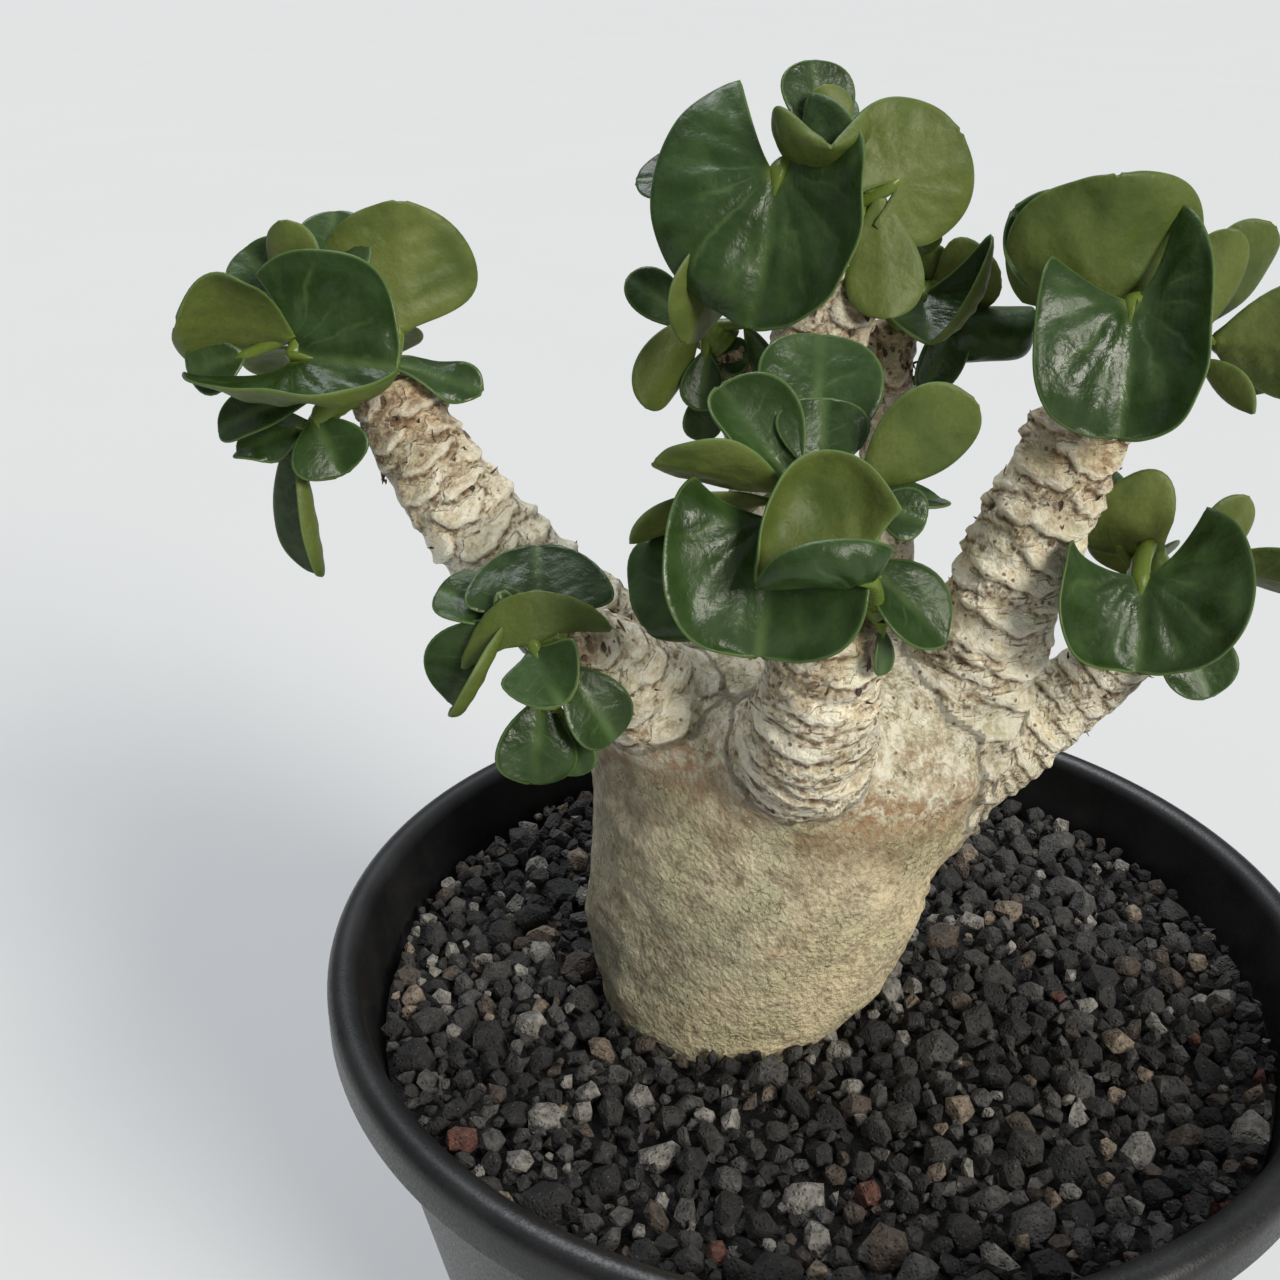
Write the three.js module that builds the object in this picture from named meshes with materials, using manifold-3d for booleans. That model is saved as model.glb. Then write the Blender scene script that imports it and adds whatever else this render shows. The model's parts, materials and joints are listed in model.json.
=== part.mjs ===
// A potted curly-leaved adenium: a swollen trunk with eight leafy branches in a black nursery pot.
// Millimetres, +Z up, +X to the right as the plant is looked at, origin under the pot's centre.
import * as THREE from "three";
import { mergeVertices } from "three/addons/utils/BufferGeometryUtils.js";
import Module from "manifold-3d";

const wasm = await Module();
wasm.setup();

// Driving dimensions.
const POT_HEIGHT = 150;
const POT_RIM_RADIUS = 105;
const POT_BASE_RADIUS = 70;
const POT_WALL = 2.3;
const POT_FLOOR = 3;
const POT_SIDES = 48;
const RIM_WIDTH = 7;
const RIM_DROP = 10;
const RIM_WALL = 2.1;
const RIM_ROUND = 3.4;
const RIM_HOLLOW_DEPTH = 4.4;
const RIM_STEPS = 6;
const FOOT_ROUND = 1.6;
const DRAIN_HOLES = 6;
const DRAIN_HOLE_RADIUS = 4.5;
const DRAIN_CIRCLE_RADIUS = 44;
const GRAVEL_TOP = 137;
const GRAVEL_DEPTH = 9;
const GRAVEL_RINGS = 17;
const STONE_RELIEF = 3;
const STONE_WANDER = 1.5;
const GAP = 0.3;
const SHORTEST_EDGE = 0.3;
const BLADE_THICKNESS = 1.2;
const STALK_RADIUS = 1.3;
const LEAST_LEAN = 0.42;
const PETIOLE_SHARE = 0.1;
const BLADE_WIDENING = 0.8;
const BLADE_BACK = 1;
const NOTCH_CURVE = 1.5;

const DEGREE = Math.PI / 180;

// The trunk's sections from the root's tip up: height, centre x and y, half width along x and y.
const TRUNK_SECTIONS = [
  [98, -20, 0, 7, 7],
  [112, -20, 0, 17, 16],
  [126, -20, 0, 25, 24],
  [134, -19.8, 0, 27, 25.5],
  [144, -17, 0, 32, 28],
  [157, -14.5, 0, 35, 30],
  [170, -12.7, 0, 36, 31],
  [182, -11, 1, 38, 32],
  [192, -10, 2, 39.5, 32],
  [202, -10, 3, 37.5, 30],
  [210, -10, 4, 30, 25],
  [215.5, -10, 5, 18, 15],
];
const TRUNK_SIDES = 24;

// Each branch: its centre line from inside the trunk to its end, with the radius at each point.
const BRANCHES = [
  {
    name: "left high",
    sides: 10,
    line: [
      [-26, 2, 188, 17],
      [-45, 3, 211, 13],
      [-59, 5, 226, 10.5],
      [-72, 6, 240, 9.8],
      [-81, 8, 253, 8.6],
      [-87, 10, 266, 7.4],
    ],
  },
  {
    name: "left low",
    sides: 10,
    line: [
      [-32, -8, 203, 13],
      [-45, -16, 220, 9],
      [-54, -22, 228, 6.4],
    ],
  },
  {
    name: "centre front",
    sides: 10,
    line: [
      [-8, -17, 184, 16],
      [-8, -31, 203, 12],
      [-8, -35, 220, 10],
      [-6.5, -36.5, 240, 8.5],
    ],
  },
  {
    name: "back tall",
    sides: 10,
    line: [
      [-8, 10, 200, 14],
      [-8, 14, 235, 10.5],
      [-7, 15, 262, 9.6],
      [-3, 15, 282, 9],
      [-0.5, 15, 292, 7.8],
    ],
  },
  {
    name: "back right",
    sides: 7,
    line: [
      [6, 15, 196, 11],
      [12, 28, 235, 6.2],
      [10.5, 30, 262, 5.4],
      [11.5, 30, 272, 5],
    ],
  },
  {
    name: "back left",
    sides: 7,
    line: [
      [-12, 17, 196, 11],
      [-15, 32, 235, 5.8],
      [-18.5, 35, 258, 5],
      [-21.5, 35, 266, 4.6],
    ],
  },
  {
    name: "right high",
    sides: 10,
    line: [
      [10, 2, 178, 20],
      [25, 1, 206, 13.5],
      [32, 0, 228, 11],
      [38, 0, 248, 9.7],
      [45, 0, 267, 8.2],
    ],
  },
  {
    name: "right low",
    sides: 10,
    line: [
      [16, 5, 178, 15],
      [33, 7, 187, 10.2],
      [46, 8, 198, 8.4],
      [57, 7.5, 209, 7.3],
      [61, 6, 221, 6],
    ],
  },
];
const SCAR_SPACING = 5;
const SCAR_RELIEF = 0.035;

// The green shoot ends that the leaves grow from: a centre line with radii, and a side shoot on some.
const SHOOTS = {
  rosette_left_high: [
    [[-87.2, 10, 266.6, 6.2], [-93, 9.5, 271, 5], [-100, 9, 277, 2.8]],
    [[-89, 8, 266, 3.4], [-96, 6, 263, 2.8], [-100, 5, 258, 2.2]],
  ],
  rosette_left_low: [
    [[-54.4, -22.3, 228.3, 5.2], [-57, -23.5, 229, 4.4], [-61, -24.5, 230, 2.6]],
    [[-57, -24, 228, 3.2], [-56, -26.5, 221, 2.6], [-55.5, -27, 216, 2]],
  ],
  rosette_centre_front: [
    [[-6.5, -36.6, 240.5, 7], [-8.5, -37.5, 251, 5.5], [-10.5, -37, 263, 3]],
    [[-7, -38, 245, 3], [-2, -42.5, 244, 2.4], [0.2, -44.3, 241, 1.6]],
  ],
  rosette_back_tall: [
    [[-0.4, 15, 292.6, 6.8], [-4, 13, 298, 5.2], [-7.5, 11, 305, 3]],
  ],
  rosette_back_right: [
    [[11.6, 30, 272.6, 4.4], [14, 29, 275.5, 3.8], [17.5, 28, 280, 2.4]],
  ],
  rosette_back_left: [
    [[-21.7, 35, 266.5, 4], [-24, 35, 268.5, 3.4], [-27, 35, 271, 2.2]],
  ],
  rosette_right_high: [
    [[45.2, 0, 267.6, 7.2], [49, -1, 275, 5.6], [52.5, -2, 284, 3]],
  ],
  rosette_right_low: [
    [[61.1, 6, 221.6, 5.2], [61, 5.5, 228, 4.4], [60, 5, 234.5, 2.6]],
  ],
};

// Where each rosette's leaves are counted from.
const ROSETTE_CENTRES = {
  rosette_left_high: [-99, 9, 276],
  rosette_left_low: [-59, -23, 228],
  rosette_centre_front: [-10, -37, 261.5],
  rosette_back_tall: [-8, 11, 302],
  rosette_back_right: [16, 28, 278],
  rosette_back_left: [-26, 35, 269],
  rosette_right_high: [52, -2, 282],
  rosette_right_low: [60, 5, 232.5],
};

// The leaves. at: the blade's foot from the rosette's centre. aim and face: azimuth and elevation, in
// degrees, of the midrib's start and of the side that the glossy upper face looks to. bend: how far the
// midrib curls back over its length. cup: how far the left and right halves curl up. fan: how far the
// halves sweep back past the foot. skew: how much wider the right half is. blunt, point: the tip's
// outline. wave: how far the margins swing up and down.
// A round leaf has lobes. lobe: how far each half reaches behind the foot, as a share of the length.
// notch: the angle that each half leaves open behind the foot. square: how boxy the outline is.
const LEAVES = {
  rosette_left_high: [
    {
      at: [-3.5, -5, -4], aim: [-18, 0], face: [-90, 30], length: 20, width: 41, bend: 10, cup: [28, 110],
      skew: 0.05, lobe: [0.62, 0.9], notch: [42, 30], square: 2.6,
    },
    { at: [-4, 2, 1], aim: [100, 75], face: [70, 0], length: 18, width: 12, bend: 10, cup: [20, 20] },
    {
      at: [-4, -3, -1], aim: [176, 20], face: [90, 20], length: 21, width: 27, bend: 45, cup: [-30, 40],
      wave: 2,
    },
    { at: [-13, -3, -4], aim: [195, -15], face: [-100, 20], length: 11, width: 11, bend: 10, cup: [20, 20] },
    {
      at: [14, 5, -2], aim: [80, 75], face: [100, 0], length: 24, width: 30, bend: 20, cup: [20, 20],
      fan: 0.2,
    },
    { at: [4, 0.5, 2], aim: [100, 65], face: [-90, 20], length: 21, width: 14, bend: 20, cup: [20, 20] },
    { at: [-3, 3, 0], aim: [150, 45], face: [-90, 25], length: 20, width: 14, bend: 20, cup: [20, 20] },
    {
      at: [12, -2, -6], aim: [-5, -8], face: [-90, 60], length: 19, width: 9, bend: 20, cup: [20, 20],
      wave: 2,
    },
    { at: [0, -4, -11], aim: [185, -12], face: [-90, 45], length: 22, width: 10, bend: 30, cup: [20, 20] },
    {
      at: [-1, -4, -17.5], aim: [185, -8], face: [-90, 45], length: 17, width: 9, bend: 30, cup: [20, 20],
      wave: 3,
    },
    { at: [-1, -5, -15.5], aim: [-50, -45], face: [-80, 20], length: 12, width: 15, bend: 20, cup: [20, 20] },
    { at: [-5, -3, -18], aim: [-75, -80], face: [-120, 10], length: 29, width: 16, bend: 10, cup: [120, 15] },
    { at: [4, 5, -3], aim: [70, 10], face: [0, 90], length: 21, width: 17, bend: 60, cup: [30, 20] },
    { at: [-3, 5, -5], aim: [125, 0], face: [0, 90], length: 20, width: 17, bend: 55, cup: [15, 35] },
  ],
  rosette_left_low: [
    {
      at: [2, 0, 3], aim: [95, 42], face: [-90, 50], length: 16, width: 27, bend: 10, cup: [20, 20],
      fan: 0.4,
    },
    {
      at: [1, -5, 1.2], aim: [120, 60], face: [90, -10], length: 9, width: 28, bend: 10, cup: [20, 20],
      fan: 0.8, blunt: 3,
    },
    { at: [-4, -2, 4], aim: [200, -50], face: [-110, 40], length: 19, width: 19, bend: 20, cup: [120, 20] },
    { at: [-4, 2, 2.5], aim: [170, 25], face: [-90, 60], length: 14, width: 12, bend: 20, cup: [20, 20] },
    { at: [-3, -1, 3], aim: [150, 70], face: [-90, 20], length: 6, width: 4, bend: 10, cup: [50, 50] },
    {
      at: [1, -5, 0], aim: [-60, -30], face: [-90, 20], length: 12, width: 16, bend: 10, cup: [30, 30],
      fan: 0.3, blunt: 2.5,
    },
    { at: [6, -4, -4], aim: [-30, -40], face: [-70, 40], length: 17, width: 13, bend: 40, cup: [20, 20] },
    {
      at: [2, -4, -10], aim: [-100, -60], face: [-90, 30], length: 16, width: 15, bend: 20, cup: [-30, 30],
      blunt: 2.5,
    },
    { at: [6, -3, -16], aim: [-50, -60], face: [-80, -30], length: 10, width: 8, bend: 10, cup: [20, 20] },
    { at: [-2, 4, -3], aim: [120, 5], face: [0, 90], length: 16, width: 13, bend: 60, cup: [20, 30] },
  ],
  rosette_centre_front: [
    { at: [-1, 4, 1], aim: [80, 60], face: [-90, 25], length: 24, width: 21, bend: 15, cup: [20, 20] },
    { at: [0, 1, 1], aim: [85, 65], face: [-90, 25], length: 13, width: 15, bend: 10, cup: [20, 20] },
    { at: [-4, 0, -1], aim: [150, 50], face: [-60, 20], length: 21, width: 18, bend: 10, cup: [60, 60] },
    { at: [-6, -3, 0], aim: [185, 20], face: [90, 50], length: 22, width: 18, bend: 10, cup: [20, 20] },
    {
      at: [5.5, -17.5, -9], aim: [184, -3], face: [0, -90], length: 17, width: 36, bend: 0,
      cup: [-115, -130],
      skew: -0.36, lobe: [0.5, 0.4], notch: [30, 40],
    },
    { at: [6.5, -1, 0], aim: [10, 40], face: [100, 10], length: 22, width: 16, bend: 10, cup: [20, 20] },
    { at: [4, 0, -3], aim: [20, 0], face: [200, 60], length: 18, width: 16, bend: 10, cup: [20, 20] },
    {
      at: [-8, -5, -4], aim: [-98, -40], face: [-90, 50], length: 22.5, width: 35, bend: 45, cup: [40, 45],
      skew: 0.05, lobe: [0.02, 0.32], notch: [75, 48], square: 2.5,
    },
    { at: [8, -3, -2], aim: [-20, -10], face: [-90, 40], length: 9, width: 9, bend: 20, cup: [20, 20] },
    {
      at: [7, -4, -12], aim: [-25, -32], face: [-60, 45], length: 19, width: 15, bend: 20, cup: [20, 20],
      point: 0.8,
    },
    { at: [10.2, -7.5, -22], aim: [-70, -70], face: [-60, 30], length: 8, width: 4, bend: 20, cup: [20, 20] },
    { at: [-8, 2.5, -3.5], aim: [185, -5], face: [90, 45], length: 24, width: 13, bend: 20, cup: [20, 20] },
    {
      at: [-11, -2, -10], aim: [200, -30], face: [-90, 40], length: 22, width: 26, bend: 20, cup: [-130, -30],
    },
    { at: [3, 4, -4], aim: [60, 10], face: [0, 90], length: 19, width: 16, bend: 60, cup: [35, 15] },
    { at: [-4, 4, -5], aim: [125, 5], face: [0, 90], length: 20, width: 17, bend: 70, cup: [20, 35] },
  ],
  rosette_back_tall: [
    {
      at: [-7.3, -5, 2], aim: [-105, -58], face: [-85, 35], length: 27, width: 42, bend: 30, cup: [80, -25],
      skew: 0.05, lobe: [0.55, 0.72], notch: [16, 12], square: 2.1,
    },
    {
      at: [0, -3, 2], aim: [-85, 15], face: [90, 75], length: 12, width: 29, bend: -28, cup: [100, 100],
      lobe: [0.35, 0.35], notch: [50, 50], square: 3,
    },
    { at: [2, 3, 4], aim: [115, 72], face: [-70, 15], length: 17, width: 14, bend: 10, cup: [20, 20] },
    { at: [5, 0, 6], aim: [180, 65], face: [100, 10], length: 11, width: 9, bend: -20, cup: [30, 30] },
    {
      at: [14.5, -1, 0], aim: [20, 35], face: [95, -5], length: 14, width: 27, bend: 10, cup: [15, 15],
      lobe: [0.55, 0.6], notch: [12, 12], square: 2.2,
    },
    {
      at: [11.5, -1, -2], aim: [-68, -75], face: [90, 0], length: 22, width: 14, bend: 10, cup: [10, 10],
      blunt: 2.5,
    },
    { at: [-4, 3, -1], aim: [176, 5], face: [-90, 60], length: 28, width: 16, bend: 10, cup: [20, 20] },
    { at: [-10, 0, -6], aim: [200, -52], face: [120, 40], length: 26, width: 21, bend: 10, cup: [20, 20] },
    { at: [1, 5, -3], aim: [85, 5], face: [0, 90], length: 30, width: 30, bend: 80, cup: [40, 30], fan: 0.4 },
    { at: [7, 4, -5], aim: [25, 0], face: [0, 90], length: 20, width: 17, bend: 60, cup: [30, 20] },
    { at: [-4, 5, -6], aim: [135, -5], face: [0, 90], length: 25, width: 20, bend: 55, cup: [20, 40] },
    { at: [3, 5, 2], aim: [85, 50], face: [-90, 30], length: 17, width: 11, bend: 20, cup: [30, 30] },
  ],
  rosette_back_right: [
    {
      at: [-0.5, -4, 1], aim: [-90, -30], face: [-90, 60], length: 13, width: 29, bend: 0, cup: [100, 30],
      fan: 0.4, skew: -0.36,
    },
    {
      at: [2, 0, 2], aim: [-10, 10], face: [90, 20], length: 13, width: 18, bend: 10, cup: [20, 20],
      fan: 0.2,
    },
    { at: [3, 0, 1], aim: [150, 75], face: [90, 10], length: 9, width: 6, bend: 10, cup: [20, 20] },
    { at: [9, -2, 0], aim: [215, -60], face: [-60, 30], length: 20, width: 10, bend: 10, cup: [20, 20] },
    {
      at: [5, 0, -3], aim: [0, 2], face: [0, 90], length: 17, width: 28, bend: 0, cup: [-165, -165],
      lobe: [0.05, 0.05], notch: [25, 25], square: 5,
    },
    { at: [3, 5, -2], aim: [95, 10], face: [0, 90], length: 19, width: 17, bend: 70, cup: [30, 30] },
  ],
  rosette_back_left: [
    { at: [-1, -2, 4], aim: [215, -45], face: [100, 20], length: 22, width: 13, bend: 10, cup: [20, 20] },
    { at: [1, -2, -4], aim: [-20, 0], face: [-90, 30], length: 8, width: 8, bend: 10, cup: [20, 20] },
    { at: [0, -3, -3], aim: [-100, -60], face: [-90, 30], length: 12, width: 9, bend: 10, cup: [20, 20] },
    { at: [0, -3, -10.5], aim: [-110, -80], face: [-90, 10], length: 11, width: 8, bend: 10, cup: [20, 20] },
    { at: [8, -2, 2], aim: [-20, -60], face: [-90, 10], length: 12, width: 5, bend: 10, cup: [20, 20] },
    { at: [-2, 0, 1], aim: [170, 38], face: [-90, 40], length: 17, width: 10, bend: 10, cup: [20, 20] },
    { at: [1, 4, -1], aim: [90, 5], face: [0, 90], length: 17, width: 14, bend: 60, cup: [30, 20] },
  ],
  rosette_right_high: [
    {
      at: [-8, 1, -1], aim: [178, 84], face: [90, 12], length: 24.5, width: 36, bend: 15, cup: [30, 30],
      lobe: [0.12, 0.12], notch: [55, 55], square: 2.2,
    },
    {
      at: [-6.2, -4, 2.3], aim: [-97, -52], face: [-83, 38], length: 24, width: 33, bend: 25, cup: [85, 10],
      skew: 0.04, lobe: [0.75, 0.45], notch: [28, 50], square: 3,
    },
    { at: [7.5, -2, -4], aim: [30, 80], face: [100, 0], length: 18.5, width: 11, bend: 10, cup: [20, 20] },
    { at: [9, 1, -3], aim: [20, 60], face: [100, 20], length: 20, width: 14, bend: 10, cup: [20, 20] },
    { at: [10, -2, -5], aim: [-5, 0], face: [100, 25], length: 22, width: 26, bend: 20, cup: [20, 20] },
    {
      at: [8, -4, -8], aim: [-30, -35], face: [100, 40], length: 13, width: 7, bend: 10, cup: [20, 20],
      point: 0.9,
    },
    { at: [-4, 6, -1], aim: [180, 40], face: [-100, 20], length: 27, width: 18, bend: 10, cup: [20, 20] },
    {
      at: [2, 5, -3], aim: [80, 10], face: [0, 90], length: 25, width: 24, bend: 75, cup: [35, 25],
      fan: 0.3,
    },
    { at: [-3, 5, -5], aim: [105, 0], face: [0, 90], length: 20, width: 16, bend: 60, cup: [20, 40] },
    { at: [7, 3, -6], aim: [22, -8], face: [0, 90], length: 22, width: 18, bend: 50, cup: [30, 20] },
  ],
  rosette_right_low: [
    { at: [2, 1, 0], aim: [140, 40], face: [90, 20], length: 16, width: 22, bend: 30, cup: [30, 30] },
    {
      at: [-5.4, -12, 0.3], aim: [-98, -42], face: [-95, 48], length: 18, width: 42, bend: 30,
      cup: [40, 70], skew: 0.04, lobe: [0.9, 0.3], notch: [35, 52], square: 2.5,
    },
    { at: [9, -3, -8], aim: [30, 70], face: [110, 5], length: 22, width: 12, bend: 10, cup: [20, 20] },
    { at: [9, 0, -5], aim: [0, 20], face: [100, 40], length: 26, width: 20, bend: 60, cup: [20, 20] },
    { at: [6, -4, -11], aim: [-60, -50], face: [-90, 30], length: 17, width: 15, bend: 10, cup: [20, 20] },
    { at: [-4, 6, 0], aim: [130, 60], face: [-90, 20], length: 16, width: 10, bend: 10, cup: [20, 20] },
    { at: [1, 5, -3], aim: [80, 5], face: [0, 90], length: 20, width: 19, bend: 70, cup: [30, 30] },
    { at: [5, 4, -6], aim: [30, -5], face: [0, 90], length: 19, width: 16, bend: 60, cup: [30, 20] },
  ],
};

// Materials.
const potPlastic = new THREE.MeshStandardMaterial({ color: 0x17181a, roughness: 0.5, metalness: 0 });
const soil = new THREE.MeshStandardMaterial({ color: 0x3a2c20, roughness: 0.95, metalness: 0 });
const lava = new THREE.MeshStandardMaterial({ color: 0x2b2a29, roughness: 0.9, metalness: 0 });
const bark = new THREE.MeshStandardMaterial({ color: 0xb3a488, roughness: 0.8, metalness: 0 });
const leafGreen = new THREE.MeshStandardMaterial({ color: 0x2f5a2c, roughness: 0.35, metalness: 0 });

// A seeded random number between 0 and 1.
function makeRandom(seed) {
  let state = seed;
  return () => {
    state = (Math.imul(state, 1664525) + 1013904223) >>> 0;
    return state / 4294967296;
  };
}

// A closed geometry as a solid that can be joined and cut.
function solidOf(geometry) {
  const bare = new THREE.BufferGeometry();
  bare.setAttribute("position", geometry.getAttribute("position"));
  bare.setIndex(geometry.getIndex());
  const merged = mergeVertices(bare, 1e-4);
  return new wasm.Manifold(
    new wasm.Mesh({
      numProp: 3,
      vertProperties: new Float32Array(merged.attributes.position.array),
      triVerts: new Uint32Array(merged.index.array),
    }),
  );
}

// A solid back as a geometry for a mesh.
function geometryOf(solid) {
  const mesh = solid.getMesh();
  const positions = new Float32Array(mesh.numVert * 3);
  for (let i = 0; i < mesh.numVert; i++) {
    const start = i * mesh.numProp;
    positions.set(mesh.vertProperties.subarray(start, start + 3), i * 3);
  }
  const geometry = new THREE.BufferGeometry();
  geometry.setAttribute("position", new THREE.BufferAttribute(positions, 3));
  geometry.setIndex(new THREE.BufferAttribute(new Uint32Array(mesh.triVerts), 1));
  geometry.computeVertexNormals();
  return geometry;
}

function joined(solids) {
  return solids.reduce((whole, next) => whole.add(next));
}

// Joined leaves meet in slivers: each edge shorter than the limit is shrunk to one point, wherever that
// leaves the surface closed and turns no face over.
function closeShortEdges(geometry, limit) {
  const index = [...geometry.getIndex().array];
  const { position } = geometry.attributes;
  const points = [];
  const facesAt = [];
  for (let i = 0; i < position.count; i++) {
    points.push(new THREE.Vector3().fromBufferAttribute(position, i));
    facesAt.push(new Set());
  }
  const faceCount = index.length / 3;
  for (let i = 0; i < index.length; i++) {
    facesAt[index[i]].add(Math.floor(i / 3));
  }
  const cornersOf = (f) => [index[3 * f], index[3 * f + 1], index[3 * f + 2]];
  const neighboursOf = (v) => new Set([...facesAt[v]].flatMap(cornersOf).filter((other) => other !== v));
  const normalOf = (corners) => {
    const [a, b, c] = corners.map((v) => points[v]);
    return b.clone().sub(a).cross(c.clone().sub(a));
  };
  const mayMerge = (gone, kept) => {
    const shared = [...facesAt[gone]].filter((f) => facesAt[kept].has(f));
    const around = neighboursOf(kept);
    const common = [...neighboursOf(gone)].filter((v) => around.has(v));
    return (
      shared.length === 2 &&
      common.length === 2 &&
      [...facesAt[gone]].every((f) => {
        const corners = cornersOf(f);
        if (corners.includes(kept)) {
          return true;
        }
        const before = normalOf(corners);
        const after = normalOf(corners.map((v) => (v === gone ? kept : v)));
        return after.dot(before) > 0.3 * after.length() * before.length() && after.length() > 1e-3;
      })
    );
  };
  const merge = (gone, kept) => {
    for (const f of facesAt[gone]) {
      if (facesAt[kept].has(f)) {
        cornersOf(f).forEach((v) => facesAt[v].delete(f));
        index.fill(-1, 3 * f, 3 * f + 3);
      } else {
        index[3 * f + cornersOf(f).indexOf(gone)] = kept;
        facesAt[kept].add(f);
      }
    }
    facesAt[gone].clear();
  };
  for (let round = 0; round < 3; round++) {
    for (let i = 0; i < 3 * faceCount; i++) {
      const a = index[i];
      const b = index[i % 3 === 2 ? i - 2 : i + 1];
      if (a < 0 || b < 0 || points[a].distanceTo(points[b]) > limit) {
        continue;
      }
      if (mayMerge(b, a)) {
        merge(b, a);
      } else if (mayMerge(a, b)) {
        merge(a, b);
      }
    }
  }
  geometry.setIndex(index.filter((v) => v >= 0));
  return geometry;
}

// A geometry's largest closed shell: a hollow sealed in between crossing leaves is filled that way, and
// a scrap that a cut has left loose is dropped.
function mainShell(geometry) {
  const index = geometry.getIndex().array;
  const { position } = geometry.attributes;
  const links = Array.from({ length: position.count }, (_, i) => i);
  const shellOf = (i) => {
    let last = i;
    while (links[last] !== last) {
      last = links[last];
    }
    links[i] = last;
    return last;
  };
  for (let f = 0; f < index.length; f += 3) {
    links[shellOf(index[f + 1])] = shellOf(index[f]);
    links[shellOf(index[f + 2])] = shellOf(index[f]);
  }
  const volumes = new Map();
  const corners = [new THREE.Vector3(), new THREE.Vector3(), new THREE.Vector3()];
  for (let f = 0; f < index.length; f += 3) {
    const [a, b, c] = corners.map((corner, k) => corner.fromBufferAttribute(position, index[f + k]));
    const shell = shellOf(index[f]);
    volumes.set(shell, (volumes.get(shell) ?? 0) + a.dot(b.clone().cross(c)));
  }
  const [largest] = [...volumes].sort((a, b) => b[1] - a[1])[0];
  const kept = [];
  for (let f = 0; f < index.length; f += 3) {
    if (shellOf(index[f]) === largest) {
      kept.push(index[f], index[f + 1], index[f + 2]);
    }
  }
  geometry.setIndex(kept);
  return geometry;
}

// A closed body through rings of points, with flat ends; each ring has the same number of points and
// runs counterclockwise as seen from the next one.
function loft(rings) {
  const count = rings[0].length;
  const points = rings.flat();
  const faces = [];
  for (let r = 0; r + 1 < rings.length; r++) {
    for (let k = 0; k < count; k++) {
      const a = r * count + k;
      const b = r * count + ((k + 1) % count);
      faces.push(a, b, b + count, a, b + count, a + count);
    }
  }
  const last = (rings.length - 1) * count;
  for (let k = 1; k + 1 < count; k++) {
    faces.push(0, k + 1, k);
    faces.push(last, last + k, last + k + 1);
  }
  const geometry = new THREE.BufferGeometry().setFromPoints(points);
  geometry.setIndex(faces);
  return geometry;
}

// Frames along a curve that turn as little as possible: point, direction and two cross axes.
function framesAlong(points) {
  const frames = [];
  let across = new THREE.Vector3(0, -1, 0);
  points.forEach((point, i) => {
    const before = points[Math.max(i - 1, 0)];
    const after = points[Math.min(i + 1, points.length - 1)];
    const forward = after.clone().sub(before).normalize();
    across = across.clone().addScaledVector(forward, -across.dot(forward)).normalize();
    frames.push({ point, forward, across, up: forward.clone().cross(across) });
  });
  return frames;
}

// A round tapering limb along a line of [x, y, z, radius], with the section scaled by relief(i, angle).
function limb(line, sides, steps, grow = 0, relief = () => 1) {
  const centres = line.map(([x, y, z]) => new THREE.Vector3(x, y, z));
  const radii = line.map(([, , , r]) => new THREE.Vector3(r, 0, 0));
  const path = new THREE.CatmullRomCurve3(centres, false, "centripetal");
  const taper = new THREE.CatmullRomCurve3(
    radii.map((r, i) => new THREE.Vector3(r.x, i * 1000, 0)),
    false,
    "centripetal",
  );
  const points = [];
  const sizes = [];
  for (let i = 0; i <= steps; i++) {
    points.push(path.getPoint(i / steps));
    sizes.push(taper.getPoint(i / steps).x);
  }
  points[0].addScaledVector(path.getTangent(0), -grow);
  points[steps].addScaledVector(path.getTangent(1), grow);
  const rings = framesAlong(points).map(({ point, across, up }, i) => {
    const ring = [];
    for (let k = 0; k < sides; k++) {
      const angle = (2 * Math.PI * k) / sides;
      const radius = sizes[i] * relief(i, angle) + grow;
      ring.push(
        point
          .clone()
          .addScaledVector(across, radius * Math.cos(angle))
          .addScaledVector(up, radius * Math.sin(angle)),
      );
    }
    return ring;
  });
  return solidOf(loft(rings));
}

// The pot's outer radius at a height below the rim.
function outerWallAt(z) {
  return POT_BASE_RADIUS + ((innerWallAt(POT_HEIGHT) + POT_WALL - POT_BASE_RADIUS) * z) / POT_HEIGHT;
}

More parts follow.
